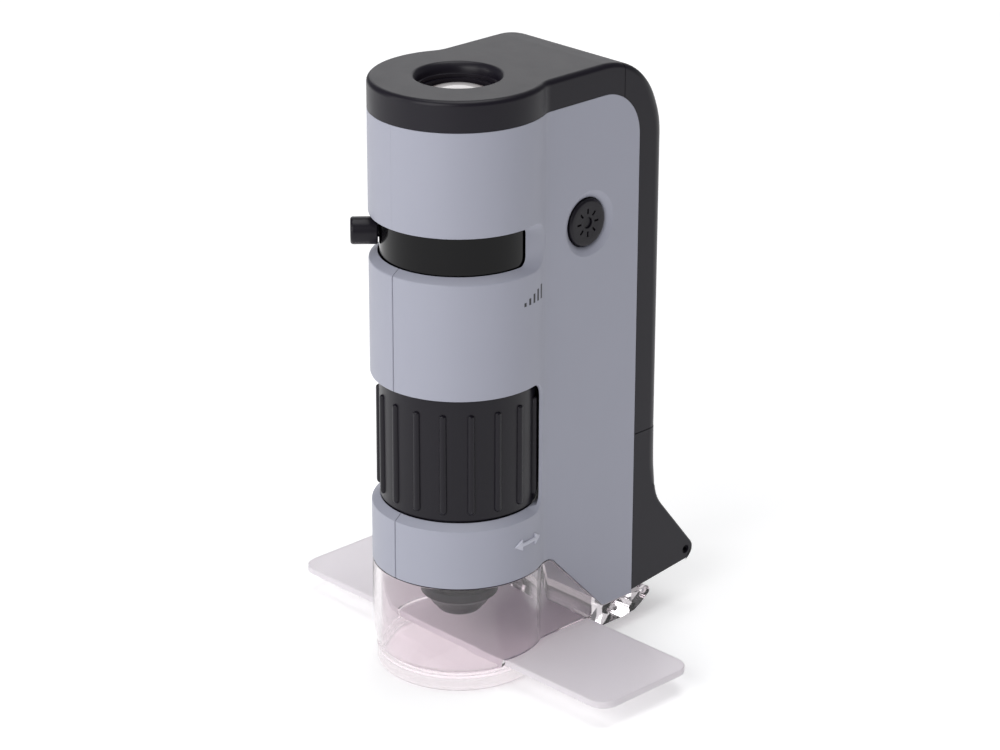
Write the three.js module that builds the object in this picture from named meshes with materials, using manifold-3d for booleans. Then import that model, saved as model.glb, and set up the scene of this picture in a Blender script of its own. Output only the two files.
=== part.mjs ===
// A handheld pocket microscope: a round barrel in front with the zoom ring and the focus wheel, a slim block
// behind it for one AA cell, and a clear base that flips down and holds a specimen slide.
//
// Millimetres and degrees. The origin is on the optical axis, level with the underside of the clear base.
// -Y is the front (the barrel), +X the side with the lamp button, +Z up. Angles round the barrel are counted
// from the front towards +X.
import * as THREE from "three";
import { mergeVertices } from "three/addons/utils/BufferGeometryUtils.js";
import Module from "manifold-3d";

const wasm = await Module();
wasm.setup();

// ---------------------------------------------------------------- driving dimensions

// Overall
const HEIGHT = 100;
const BARREL_R = 14.2;
const BLOCK_HALF = 12.2; // half width of the block behind the barrel
const BLOCK_DEPTH = 13.9; // from the barrel's rear quadrant to the back of the grey sides
const NECK_R = 4; // concave fillet between barrel and block
const SPINE_DEPTH = 6.1; // black back, behind the grey sides
const SPINE_EDGE_R = 2.5; // its upright edges
const CAP_THICK = 5;
const CORNER_R = 8; // upper rear corner of the grey sides, seen from the side

// Walls and clearances
const WALL = 1.4;
const CLEAR = 0.3; // round what turns, slides or is fitted in
const SEAM = 0.15; // between covers that meet
const HALF_SEAM = 0.06; // each side of the parting line of the two shells
const PIN_CLEAR = 0.08; // running clearance round the hinge pin

// Underside of the grey shell: level under the barrel, then down a slope to the leg
const BARREL_BOTTOM = 18.85;
const LEG_BOTTOM = 6.2;
const LEG_RUN = 12.3; // how far back the slope takes
const LEG_DEPTH = 6.8; // of the level stretch under the leg
const PEAK_R = 2.5;

// Zoom ring and its slot
const ZOOM_LEVEL = 74.7; // mid height of the slot
const ZOOM_SLOT = 6.6; // height of the slot at the ring
const SLOT_BEVEL = 1.0;
const SLOT_REACH = 101; // half of the slot's angle, at the ring
const LEVER_R = 2.2;
const LEVER_OUT = 2.8; // how far its tip stands out of the barrel
const LEVER_ANGLE = -42;
const ZOOM_RING_LENGTH = 12.8;

// Focus wheel and its window
const FOCUS_LEVEL = 40.45;
const FOCUS_WINDOW = 21.3;
const WINDOW_REACH = 113; // half of the window's angle
const WHEEL_DEPTH = 1.35; // wheel surface below the barrel's surface
const RIB_COUNT = 18;
const RIB_HEIGHT = 0.55;
const RIB_WIDTH = 1.25;
const RIB_SHORT = 4.1; // the ribs are this much shorter than the window
const RIB_LEVEL = 39.75;
const RIB_PHASE = 15.1; // angle of one rib

// Optics
const TUBE_R = 9.6; // fixed inner tube, outside
const TUBE_WALL = 0.8;
const PLATE = 2; // thickness of the tube's plates
const EYE_R = 7; // eyepiece recess at the cap's top
const EYE_HOLE_R = 5.7;
const EYE_LENS_R = 6.4; // flange of the eye lens
const EYE_DOME_R = 5.4; // its upper part, which rises into the cap's hole
const EYE_LENS_EDGE = 0.5; // half thickness of the flange
const ZOOM_LENS_R = 5.8;
const OBJECTIVE_DISC_R = 6.35;
const OBJECTIVE_TIP_R = 3.7;
const OBJECTIVE_TIP = 9.3; // height of the lowest point
const OBJECTIVE_DISC = 12.5; // height of the disc's underside
const NECK_TUBE_R = 6;
const PIN_R = 0.95;

// Cell, board and lamp
const CELL_R = 7.25;
const CELL_LENGTH = 50.5;
const CELL_BOTTOM = 36.5;
const BUTTON_R = 3.95;
const BUTTON_BACK = 2.75; // its axis, behind the barrel's rear quadrant
const BUTTON_LEVEL = 74.6;
const BUTTON_DISH = 1.05; // width of the conical dish round it
const LAMP_R = 1.5;
const DOOR_BOTTOM = 34.95;
const CAP_SEAM_BACK = 10.35; // cap to door seam, behind the barrel's rear quadrant

// Rear stand and its tail
const TAIL_R = 1.9;
const TAIL_REACH = 7.15; // tail's hole, behind the back face
const TAIL_LEVEL = 9.9;
const TAIL_HOLE_R = 0.75;
const TAIL_SLOPE = 51; // of the tail's upper edge, below level
const TAIL_BEND_R = 6; // where the tail leaves the back
const TAIL_UNDERSIDE = -84; // angle at which the round end runs into the underside
const STAND_LIFT = 0.35; // the stand's front lower edge above the leg's underside
const STAND_WALL = 1.4;

// Clear base and slide
const BASE_WALL = 1.3;
const BASE_TURN_IN = 1.1; // how far the wall curves in at its foot
const BASE_CURVE = 5; // height of that curve
const FOOT_TOP = 3.4;
const FOOT_BULGE = 0.55; // foot inside the barrel's outline
const FOOT_ROUND = 1.0;
const FOOT_SHORT = 0.7; // the foot stops this far in front of the leg
const FLOOR = 2;
const WEDGE_BOTTOM = 2.4;
const HINGE_BACK = 3.5; // hinge axis behind the grey sides
const HINGE_DROP = 0.9; // and below the leg's underside
const HINGE_PIN_R = 0.5;
const KNUCKLE_R = 0.95;
const EAR_X = 7.2; // middle of each ear of the stand
const EAR_WIDTH = 2;
const SLIDE_LENGTH = 72.6;
const SLIDE_WIDTH = 20.6;
const SLIDE_THICK = 1.2;
const SLIDE_CORNER_R = 3;
const SLIDE_X = -1;
const SLIDE_Y = 8;

// Screws through the left shell: height, and distance behind the barrel's rear quadrant
const SCREWS = [
  { back: 9.3, level: 13 },
  { back: 5.8, level: 28 },
  { back: 3, level: 92 },
];
const SCREW_R = 0.9;
const SCREW_HEAD_R = 1.8;
const SCREW_HEAD = 1;
const BOSS_R = 2.6;

// ---------------------------------------------------------------- sizes worked out from them

const CAP_BOTTOM = HEIGHT - CAP_THICK;
const BLOCK_BACK = BARREL_R + BLOCK_DEPTH;
const BACK = BLOCK_BACK + SPINE_DEPTH;
const INNER_R = BARREL_R - WALL;
const INNER_HALF = BLOCK_HALF - WALL;
const RING_R = INNER_R - CLEAR; // widest round piece that turns inside the barrel
const WHEEL_R = BARREL_R - WHEEL_DEPTH;
const RIB_R = WHEEL_R + RIB_HEIGHT;
const POCKET_R = RIB_R + CLEAR;
const TUBE_IN = TUBE_R - TUBE_WALL;
const LEG_Y = BLOCK_BACK - LEG_DEPTH;
const PEAK_Y = LEG_Y - LEG_RUN;
const FOOT_BACK = LEG_Y - FOOT_SHORT;
const HINGE_Y = BLOCK_BACK + HINGE_BACK;
const HINGE_Z = LEG_BOTTOM - HINGE_DROP;
const SLOPE = Math.atan2(BARREL_BOTTOM - LEG_BOTTOM, LEG_RUN);
const CAP_SEAM_Y = BARREL_R + CAP_SEAM_BACK;
const TRAY_FRONT = POCKET_R + CLEAR;
const TRAY_WALL = 0.8;
const CELL_Y = TRAY_FRONT + TRAY_WALL + CLEAR + CELL_R;
const CELL_TOP = CELL_BOTTOM + CELL_LENGTH;
const BUTTON_Y = BARREL_R + BUTTON_BACK;
const TAIL_Y = BACK + TAIL_REACH;
const SLIDE_BOTTOM = FOOT_TOP + 0.1;
const SLIDE_SLOT_TOP = SLIDE_BOTTOM + SLIDE_THICK + SEAM;
const FOCUS_BOTTOM = FOCUS_LEVEL - FOCUS_WINDOW / 2;
const FOCUS_TOP = FOCUS_LEVEL + FOCUS_WINDOW / 2;
const RIB_LENGTH = FOCUS_WINDOW - RIB_SHORT;
const ZOOM_BOTTOM = ZOOM_LEVEL - ZOOM_RING_LENGTH / 2;
const ZOOM_TOP = ZOOM_LEVEL + ZOOM_RING_LENGTH / 2;
const FAR = 2 * HEIGHT; // larger than the object, for cutting blocks

// ---------------------------------------------------------------- materials

function finish(colour, roughness, metalness = 0, opacity = 1) {
  return new THREE.MeshStandardMaterial({
    color: colour,
    roughness,
    metalness,
    opacity,
    transparent: opacity < 1,
  });
}
const greyPlastic = finish(0x9698a5, 0.45);
const blackPlastic = finish(0x35323a, 0.5);
const blackGloss = finish(0x232227, 0.3);
const innerPlastic = finish(0x1c1c1e, 0.6);
const clearPlastic = finish(0xf1eef1, 0.05, 0, 0.3);
const slidePlastic = finish(0xd8d2d4, 0.35, 0, 0.85);
const opticalGlass = finish(0xf4f2f4, 0.03, 0, 0.4);
const steel = finish(0xb9bbc0, 0.3, 1);
const springSteel = finish(0xa3a5aa, 0.35, 1);
const boardGreen = finish(0x1d5a3a, 0.5);
const cellWrap = finish(0x3c4450, 0.4);
const lampEpoxy = finish(0xf6f6f0, 0.1, 0, 0.6);

// ---------------------------------------------------------------- helpers

const rad = THREE.MathUtils.degToRad;

// Points on an arc, both ends included; angles in degrees, counted from +X towards +Y.
function arc(cx, cy, r, from, to, step = 8) {
  const count = Math.max(2, Math.ceil(Math.abs(to - from) / step));
  const points = [];
  for (let i = 0; i <= count; i++) {
    const a = rad(from + ((to - from) * i) / count);
    points.push(new THREE.Vector2(cx + r * Math.cos(a), cy + r * Math.sin(a)));
  }
  return points;
}

const at = (x, y) => new THREE.Vector2(x, y);

// A closed three.js geometry as a solid that can be joined and cut.
function solid(geometry) {
  const bare = geometry.index ? geometry.toNonIndexed() : geometry.clone();
  bare.deleteAttribute("normal");
  bare.deleteAttribute("uv");
  const merged = mergeVertices(bare, 1e-4);
  const index = merged.index.array;
  const whole = [];
  for (let i = 0; i < index.length; i += 3) {
    const [a, b, c] = index.slice(i, i + 3);
    if (a !== b && b !== c && c !== a) whole.push(a, b, c);
  }
  return new wasm.Manifold(
    new wasm.Mesh({
      numProp: 3,
      vertProperties: new Float32Array(merged.attributes.position.array),
      triVerts: new Uint32Array(whole),
    }),
  );
}

// The solid's surface as a three.js geometry.
function surface(shape) {
  const mesh = shape.getMesh();
  const geometry = new THREE.BufferGeometry();
  geometry.setAttribute("position", new THREE.BufferAttribute(mesh.vertProperties, 3));
  geometry.setIndex(new THREE.BufferAttribute(mesh.triVerts, 1));
  geometry.computeVertexNormals();
  return geometry;
}

// An outline in the XY plane, extruded upwards from z0 to z1. round is a rounded edge at both ends.
function upright(outline, z0, z1, round = 0, height = round) {
  const geometry = new THREE.ExtrudeGeometry(new THREE.Shape(outline), {
    depth: z1 - z0 - 2 * height,
    bevelEnabled: round > 0,
    bevelSize: round,
    bevelOffset: -round,
    bevelThickness: height,
    bevelSegments: 2,
  });
  return solid(geometry.translate(0, 0, z0 + height));
}

// An outline in the YZ plane (its own x is Y, its own y is Z), extruded along X.
const sideways = new THREE.Matrix4().set(0, 0, 1, 0, 1, 0, 0, 0, 0, 1, 0, 0, 0, 0, 0, 1);
function across(outline, x0, x1) {
  const geometry = new THREE.ExtrudeGeometry(new THREE.Shape(outline), {
    depth: x1 - x0,
    bevelEnabled: false,
  });
  return solid(geometry.translate(0, 0, x0).applyMatrix4(sideways));
}

// A profile of [radius, height] points turned about the Z axis.
function turned(profile, segments = 24) {
  const points = profile.map(([r, z]) => at(r, z));
  return solid(new THREE.LatheGeometry(points, segments).rotateX(Math.PI / 2));
}

// A ring of rectangular section about the Z axis.
function ring(inside, outside, z0, z1, segments = 24) {
  return turned(
    [
      [inside, z0],
      [outside, z0],
      [outside, z1],
      [inside, z1],
      [inside, z0],
    ],
    segments,
  );
}

// A plain round bar about the Z axis.
function bar(r, z0, z1, segments = 32) {
  return turned(
    [
      [0, z0],
      [r, z0],
      [r, z1],
      [0, z1],
    ],
    segments,
  );
}

// A round bar along X.
function crossBar(r, x0, x1, y, z, segments = 16) {
  const geometry = new THREE.CylinderGeometry(r, r, x1 - x0, segments);
  return solid(geometry.rotateZ(Math.PI / 2).translate((x0 + x1) / 2, y, z));
}

function block(x0, x1, y0, y1, z0, z1) {
  const geometry = new THREE.BoxGeometry(x1 - x0, y1 - y0, z1 - z0);
  return solid(geometry.translate((x0 + x1) / 2, (y0 + y1) / 2, (z0 + z1) / 2));
}

// A named piece in its own frame.
function piece(name, shape, material) {
  const mesh = new THREE.Mesh(shape.isBufferGeometry ? shape : surface(shape), material);
  mesh.name = name;
  return mesh;
}

// A lens: two domes on a round edge, about the Z axis, with the edge's middle at height 0.
function lensShape(r, edge, topRise, bottomRise) {
  const steps = 3;
  const profile = [];
  for (let i = 0; i <= steps; i++) {
    const share = i / steps;
    profile.push([r * share, -edge / 2 - bottomRise * (1 - share * share)]);
  }
  for (let i = steps; i >= 0; i--) {
    const share = i / steps;
    profile.push([r * share, edge / 2 + topRise * (1 - share * share)]);
  }
  return turned(profile, 24);
}

// A coil of wire about the Z axis from height 0 to its length, flat cut at both ends.
class Coil extends THREE.Curve {
  constructor(bottomR, topR, length, turns) {
    super();
    Object.assign(this, { bottomR, topR, length, turns });
  }
  getPoint(t, target = new THREE.Vector3()) {
    const r = this.bottomR + (this.topR - this.bottomR) * t;
    const a = 2 * Math.PI * this.turns * t;
    return target.set(r * Math.cos(a), r * Math.sin(a), this.length * t);
  }
}

function wire(path, r, steps, sides = 6) {
  const section = new THREE.Shape(arc(0, 0, r, 0, 360 - 360 / sides, 360 / sides));
  return new THREE.ExtrudeGeometry(section, {
    steps,
    extrudePath: path,
    bevelEnabled: false,
  });
}

// ---------------------------------------------------------------- outlines

// The object seen from above: a round barrel that runs with concave fillets into a block with flat sides.
// inset moves every side inwards.
function keyhole(inset, back, edgeR = 0) {
  const r = BARREL_R - inset;
  const half = BLOCK_HALF - inset;
  const neck = NECK_R + inset;
  const neckX = half + neck;
  const neckY = Math.sqrt((r + neck) ** 2 - neckX ** 2);
  const turn = THREE.MathUtils.radToDeg(Math.atan2(neckY, neckX));
  const corner = (side) =>
    edgeR
      ? arc(side * (half - edgeR), back - edgeR, edgeR, side > 0 ? 0 : 90, side > 0 ? 90 : 180, 18)
      : [at(side * half, back)];
  return [
    ...corner(-1),
    ...arc(-neckX, neckY, neck, 0, -turn),
    ...arc(0, 0, r, 180 - turn, 360 + turn, 8).slice(1, -1),
    ...arc(neckX, neckY, neck, 180 + turn, 180),
    ...corner(1),
  ];
}

// The underside of the shell from front to back, seen from the side: level, rounded peak, slope, level.
// raise moves the line into the shell; a negative value moves it out.
function underLine(raise, front, back) {
  const shift = raise * Math.tan(SLOPE / 2);
  const slopeDegrees = THREE.MathUtils.radToDeg(SLOPE);
  const peakCentre = at(PEAK_Y - PEAK_R * Math.tan(SLOPE / 2), BARREL_BOTTOM - PEAK_R);
  return [
    at(front, BARREL_BOTTOM + raise),
    ...arc(peakCentre.x, peakCentre.y, PEAK_R + raise, 90, 90 - slopeDegrees, 12),
    at(LEG_Y + shift, LEG_BOTTOM + raise),
    at(back, LEG_BOTTOM + raise),
  ];
}

// The grey block seen from the side, moved outwards by grow at its back and top.
function greySide(grow) {
  const r = CORNER_R + grow;
  return [
    ...underLine(-grow, -FAR, BLOCK_BACK + grow),
    ...arc(BLOCK_BACK - CORNER_R, CAP_BOTTOM - CORNER_R, r, 0, 90, 15),
    at(-FAR, CAP_BOTTOM + grow),
  ];
}

// The black cover's outside seen from the side, down to the door's lower edge and beyond.
function hoodSide(inset) {
  const r = CORNER_R + SPINE_DEPTH - inset;
  const cy = BACK - CORNER_R - SPINE_DEPTH;
  const cz = HEIGHT - CORNER_R - SPINE_DEPTH;
  return [at(-FAR, 0), at(BACK - inset, 0), ...arc(cy, cz, r, 0, 90, 9), at(-FAR, HEIGHT - inset)];
}

// ---------------------------------------------------------------- grey shell halves

const slotCutter = (() => {
  // A wedge-shaped ring sector: the slot with its bevelled outer lip, cut from inside to outside.
  const half = ZOOM_SLOT / 2;
  const outer = half + SLOT_BEVEL;
  const band = turned([
    [RING_R - 1, ZOOM_LEVEL - half],
    [INNER_R, ZOOM_LEVEL - half],
    [BARREL_R + 0.2, ZOOM_LEVEL - outer],
    [BARREL_R + 3, ZOOM_LEVEL - outer],
    [BARREL_R + 3, ZOOM_LEVEL + half],
    [RING_R - 1, ZOOM_LEVEL + half],
    [RING_R - 1, ZOOM_LEVEL - half],
  ]);
  return band.intersect(sector(SLOT_REACH, ZOOM_LEVEL - outer - 1, ZOOM_LEVEL + outer + 1));
})();

// A wedge of space round the front, reach degrees to each side.
function sector(reach, z0, z1) {
  const points = arc(0, 0, FAR, reach - 90, -90 - reach, 20).reverse();
  return upright([at(0, 0), ...points], z0, z1);
}

function shellBody() {
  const outside = upright(keyhole(0, BLOCK_BACK), 0, CAP_BOTTOM).intersect(
    across(greySide(0), -FAR, FAR),
  );
  const cavityOutline = keyhole(WALL, BLOCK_BACK + WALL);
  const cavitySide = [
    ...underLine(WALL, -FAR, BLOCK_BACK + 2 * WALL),
    at(BLOCK_BACK + 2 * WALL, CAP_BOTTOM + WALL),
    at(-FAR, CAP_BOTTOM + WALL),
  ];
  const cavity = upright(cavityOutline, 0, CAP_BOTTOM + WALL).intersect(
    across(cavitySide, -FAR, FAR),
  );
  const ribPocket = bar(POCKET_R, FOCUS_BOTTOM, FOCUS_TOP, 45);
  const window = bar(BARREL_R + 3, FOCUS_BOTTOM, FOCUS_TOP).intersect(
    sector(WINDOW_REACH, FOCUS_BOTTOM - 1, FOCUS_TOP + 1),
  );
  const objectiveHole = bar(OBJECTIVE_DISC_R + CLEAR, 0, FOCUS_BOTTOM - 3 * WALL, 32);
  return outside
    .subtract(cavity)
    .subtract(ribPocket)
    .subtract(window)
    .subtract(slotCutter)
    .subtract(objectiveHole)
    .subtract(lampHole());
}

// Where the lamp looks out of the slope, aimed at the middle of the stage.
const LAMP_Y = PEAK_Y + 2.8;
const LAMP_Z = BARREL_BOTTOM - 2.8 * Math.tan(SLOPE);
function alongLamp(object, distance) {
  // Turns a piece made about +Z so that it looks down the lamp's axis, and moves it back from the slope.
  object.rotateX(Math.PI - SLOPE);
  const inward = at(Math.sin(SLOPE), Math.cos(SLOPE));
  return object.translate(0, LAMP_Y + inward.x * distance, LAMP_Z + inward.y * distance);
}
function lampHole() {
  const r = LAMP_R + CLEAR;
  const geometry = new THREE.CylinderGeometry(r, r, 6 * WALL, 20).rotateX(Math.PI / 2);
  return solid(alongLamp(geometry, 0));
}

function screwBosses(side) {
  let bosses = null;
  let holes = null;
  for (const { back, level } of SCREWS) {
    const y = BARREL_R + back;
    const wallX = side * (BLOCK_HALF - WALL / 2);
    const seamX = side * HALF_SEAM;
    const bossShape = crossBar(BOSS_R, Math.min(wallX, seamX), Math.max(wallX, seamX), y, level);
    bosses = bosses ? bosses.add(bossShape) : bossShape;
    const hole = crossBar(SCREW_R + CLEAR, -FAR, 6.2, y, level, 16);
    const head = crossBar(SCREW_HEAD_R + CLEAR, -FAR, SCREW_HEAD + CLEAR - BLOCK_HALF, y, level);
    holes = holes ? holes.add(hole).add(head) : hole.add(head);
  }
  return { bosses, holes };
}

function shellHalf(side) {
  const body = shellBody();
  const keep =
    side > 0 ? block(HALF_SEAM, FAR, -FAR, FAR, 0, FAR) : block(-FAR, -HALF_SEAM, -FAR, FAR, 0, FAR);
  const { bosses, holes } = screwBosses(side);
  return body.intersect(keep).add(bosses).subtract(holes);
}

function rightShell() {
  // The dish is a short cone round the button's hole.
  const dishR = BUTTON_R + CLEAR + BUTTON_DISH;
  const dishDepth = 0.9;
  const dish = new THREE.CylinderGeometry(BUTTON_R + CLEAR, dishR + 0.4, dishDepth + 0.4, 40);
  dish.rotateZ(Math.PI / 2).translate(BLOCK_HALF - dishDepth / 2 + 0.2, BUTTON_Y, BUTTON_LEVEL);
  const hole = crossBar(BUTTON_R + CLEAR / 2, INNER_HALF - 1, FAR, BUTTON_Y, BUTTON_LEVEL, 40);
  return shellHalf(1).subtract(solid(dish)).subtract(hole);
}

// ---------------------------------------------------------------- black covers

// All black covers together: what lies behind and above the grey block, inside the outer line.
function hood() {
  const outline = keyhole(0, BACK, SPINE_EDGE_R);
  const rounded = upright(outline, DOOR_BOTTOM - 5, HEIGHT, 0.8);
  return rounded.intersect(across(hoodSide(0), -FAR, FAR)).subtract(across(greySide(SEAM), -FAR, FAR));
}

function topCap() {
  const half = HEIGHT / 2;
  const shape = hood().intersect(block(-FAR, FAR, -FAR, CAP_SEAM_Y - SEAM / 2, half, FAR));
  const roof = 1.8;
  const bossR = EYE_LENS_R + 3.6;
  const pocket = upright(keyhole(1.8, CAP_SEAM_Y - 1.6), 0, HEIGHT - roof).subtract(
    bar(bossR, 0, HEIGHT),
  );
  const barrelSeat = bar(EYE_LENS_R + 2.1 + CLEAR, 0, CAP_BOTTOM + 1.5);
  const eye = turned([
    [0, half],
    [EYE_HOLE_R, half],
    [EYE_HOLE_R, HEIGHT - 2.3],
    [EYE_R - 0.7, HEIGHT - 2.3],
    [EYE_R - 0.7, HEIGHT - 1.4],
    [EYE_R, HEIGHT],
    [EYE_R, HEIGHT + 1],
    [0, HEIGHT + 1],
  ]);
  return shape.subtract(pocket).subtract(barrelSeat).subtract(eye);
}

const HOOD_WALL = 1.6;
function hoodHollow() {
  const half = BLOCK_HALF - HOOD_WALL;
  const outline = [
    at(-half, 0),
    at(half, 0),
    ...arc(half - 1, BACK - HOOD_WALL - 1, 1, 0, 90, 30),
    ...arc(1 - half, BACK - HOOD_WALL - 1, 1, 90, 180, 30),
  ];
  return upright(outline, 0, FAR).intersect(across(hoodSide(HOOD_WALL), -FAR, FAR));
}

function batteryDoor() {
  const region = block(-FAR, FAR, CAP_SEAM_Y + SEAM / 2, FAR, DOOR_BOTTOM + SEAM, FAR);
  return hood().intersect(region).subtract(hoodHollow());
}

// The stand's side view: straight down from the door, then out to the round end of the tail. Its front edge
// and its top move outwards by the last two numbers, which opens a hollow made from the same line.
function standSide(inset, openFront = 0, openTop = 0) {
  const topSlope = 90 - TAIL_SLOPE;
  const r = TAIL_R - inset;
  const back = BACK - inset;
  const bendR = TAIL_BEND_R + inset;
  const touch = at(TAIL_Y + r * Math.cos(rad(topSlope)), TAIL_LEVEL + r * Math.sin(rad(topSlope)));
  // The upper edge meets the upright back at this height; the bend's fillet is tangent to both.
  const meet = touch.y + (touch.x - back) * Math.tan(rad(TAIL_SLOPE));
  const tangent = bendR * Math.tan(rad((90 - TAIL_SLOPE) / 2));
  const frontY = BLOCK_BACK + SEAM - openFront;
  const frontZ = LEG_BOTTOM + STAND_LIFT + inset;
  const top = DOOR_BOTTOM - SEAM / 2 + openTop;
  return [
    at(frontY, frontZ),
    ...arc(TAIL_Y, TAIL_LEVEL, r, TAIL_UNDERSIDE, topSlope, 15),
    ...arc(back + bendR, meet + tangent, bendR, 180 + topSlope, 180, 13),
    at(back, top),
    at(frontY, top),
  ];
}

function rearStand() {
  const outside = across(standSide(0), -BLOCK_HALF, BLOCK_HALF).intersect(
    upright(keyhole(0, TAIL_Y + TAIL_R + 1, 0.8), 0, FAR),
  );
  // Upright edges are rounded like the door's, down to where the tail leaves the back.
  const edges = upright(keyhole(0, BACK, SPINE_EDGE_R), DOOR_BOTTOM - 9, FAR).add(
    upright(keyhole(0, FAR), -1, DOOR_BOTTOM - 9),
  );
  const half = BLOCK_HALF - STAND_WALL;
  const hollow = across(standSide(STAND_WALL, 5, 5), -half, half);
  const tailGap = block(-half, half, TAIL_Y - 3.6, FAR, 0, TAIL_LEVEL + 4.2);
  let stand = outside.intersect(edges).subtract(hollow).subtract(tailGap);
  for (const side of [-1, 1]) {
    const x0 = side * EAR_X - EAR_WIDTH / 2;
    const x1 = side * EAR_X + EAR_WIDTH / 2;
    const earSide = [
      ...arc(HINGE_Y, HINGE_Z, KNUCKLE_R, 180, 360, 20),
      at(HINGE_Y + KNUCKLE_R, LEG_BOTTOM + 1.6),
      at(HINGE_Y - KNUCKLE_R, LEG_BOTTOM + 1.6),
    ];
    stand = stand.add(across(earSide, x0, x1));
  }
  const tailHole = crossBar(TAIL_HOLE_R, -FAR, FAR, TAIL_Y, TAIL_LEVEL, 16);
  const pinHole = crossBar(HINGE_PIN_R + PIN_CLEAR, -FAR, FAR, HINGE_Y, HINGE_Z, 16);
  return stand.subtract(tailHole).subtract(pinHole);
}

// ---------------------------------------------------------------- optics that stay put

function opticalFrame() {
  const low = BARREL_BOTTOM + WALL + CLEAR;
  const belowZoom = ZOOM_BOTTOM - CLEAR - PLATE / 2 - 0.2;
  const plates = [low, (FOCUS_TOP + ZOOM_BOTTOM) / 2 - 6, belowZoom, ZOOM_TOP + 2 * CLEAR];
  let frame = ring(TUBE_IN, TUBE_R, low, CAP_BOTTOM - 3, 24);
  plates.forEach((z, i) => {
    const hole = i ? TUBE_IN : NECK_TUBE_R + 2 * CLEAR;
    const thick = i === 2 ? PLATE / 2 : PLATE;
    frame = frame.add(ring(hole, RING_R, z, z + thick, 24));
  });
  const pinWay = PIN_R + CLEAR;
  const slots = block(-pinWay, pinWay, 0, FAR, ZOOM_BOTTOM + 1, ZOOM_TOP - 1).add(
    block(-pinWay, pinWay, 0, FAR, FOCUS_LEVEL, FOCUS_TOP - 0.6),
  );
  return frame.subtract(slots);
}

const BARREL_OUT = TUBE_IN - CLEAR;
const EYE_LENS_LEVEL = HEIGHT - 6;
function ocularBarrel() {
  return turned([
    [EYE_LENS_R - 0.7, ZOOM_TOP + 3.8],
    [BARREL_OUT, ZOOM_TOP + 3.8],
    [BARREL_OUT, CAP_BOTTOM + 1.2],
    [EYE_LENS_R + SEAM, CAP_BOTTOM + 1.2],
    [EYE_LENS_R + SEAM, EYE_LENS_LEVEL - 0.7],
    [EYE_LENS_R - 0.7, EYE_LENS_LEVEL - 0.7],
    [EYE_LENS_R - 0.7, ZOOM_TOP + 3.8],
  ]);
}

// A thick lens: a flange that the ring holds down, and a dome that rises into the cap's hole.
function eyeLensShape() {
  const rise = 1.2;
  const domeEdge = 3;
  const steps = [0, 1, 2, 3, 4, 5, 6].map((k) => k / 6);
  const under = steps.map((k) => [EYE_LENS_R * k, -EYE_LENS_EDGE - 0.9 * (1 - k * k)]);
  const dome = steps.map((k) => [EYE_DOME_R * k, domeEdge + rise * (1 - k * k)]).reverse();
  return turned([...under, [EYE_LENS_R, EYE_LENS_EDGE], [EYE_DOME_R, EYE_LENS_EDGE], ...dome]);
}

// ---------------------------------------------------------------- zoom

function zoomBand() {
  const middle = TUBE_R + 1.3;
  const journal = 0.8;
  const band = turned(
    [
      [TUBE_R + CLEAR, ZOOM_BOTTOM],
      [RING_R, ZOOM_BOTTOM],
      [RING_R, ZOOM_TOP],
      [TUBE_R + CLEAR, ZOOM_TOP],
      [TUBE_R + CLEAR, ZOOM_TOP - journal],
      [middle, ZOOM_TOP - journal],
      [middle, ZOOM_BOTTOM + journal],
      [TUBE_R + CLEAR, ZOOM_BOTTOM + journal],
      [TUBE_R + CLEAR, ZOOM_BOTTOM],
    ],
    45,
  );
  const hole = new THREE.CylinderGeometry(1.35, 1.35, 8, 16);
  hole.translate(0, -RING_R, ZOOM_LEVEL).rotateZ(rad(LEVER_ANGLE));
  return band.subtract(solid(hole));
}

// Made about +Z, with its shoulder at height 0.
function zoomLever() {
  const length = BARREL_R + LEVER_OUT - RING_R - CLEAR / 2;
  const round = 0.45;
  return turned(
    [
      [0, -1.1],
      [1.2, -1.1],
      [1.2, 0],
      [LEVER_R, 0],
      [LEVER_R, length - round],
      [LEVER_R - 0.3 * round, length - 0.3 * round],
      [LEVER_R - round, length],
      [0, length],
    ],
    24,
  );
}

const ZOOM_PIN_LEVEL = ZOOM_BOTTOM + 4.5;
function zoomCarrier() {
  const low = ZOOM_PIN_LEVEL - 6.8;
  const high = ZOOM_PIN_LEVEL + 1.7;
  const carrier = turned([
    [ZOOM_LENS_R - 0.8, low],
    [BARREL_OUT, low],
    [BARREL_OUT, high],
    [ZOOM_LENS_R + SEAM, high],
    [ZOOM_LENS_R + SEAM, low + 2.6],
    [ZOOM_LENS_R - 0.8, low + 2.6],
    [ZOOM_LENS_R - 0.8, low],
  ]);
  return carrier.subtract(pinHoleAt(ZOOM_PIN_LEVEL));
}

// A radial hole at the rear of a sliding barrel for its guide pin.
function pinHoleAt(level) {
  const hole = new THREE.CylinderGeometry(PIN_R + SEAM, PIN_R + SEAM, 5, 14);
  return solid(hole.translate(0, BARREL_OUT, level));
}

function guidePin() {
  return new THREE.CylinderGeometry(PIN_R, PIN_R, TUBE_R + 0.7 - BARREL_OUT + 1.6, 14);
}

// ---------------------------------------------------------------- focus

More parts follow.
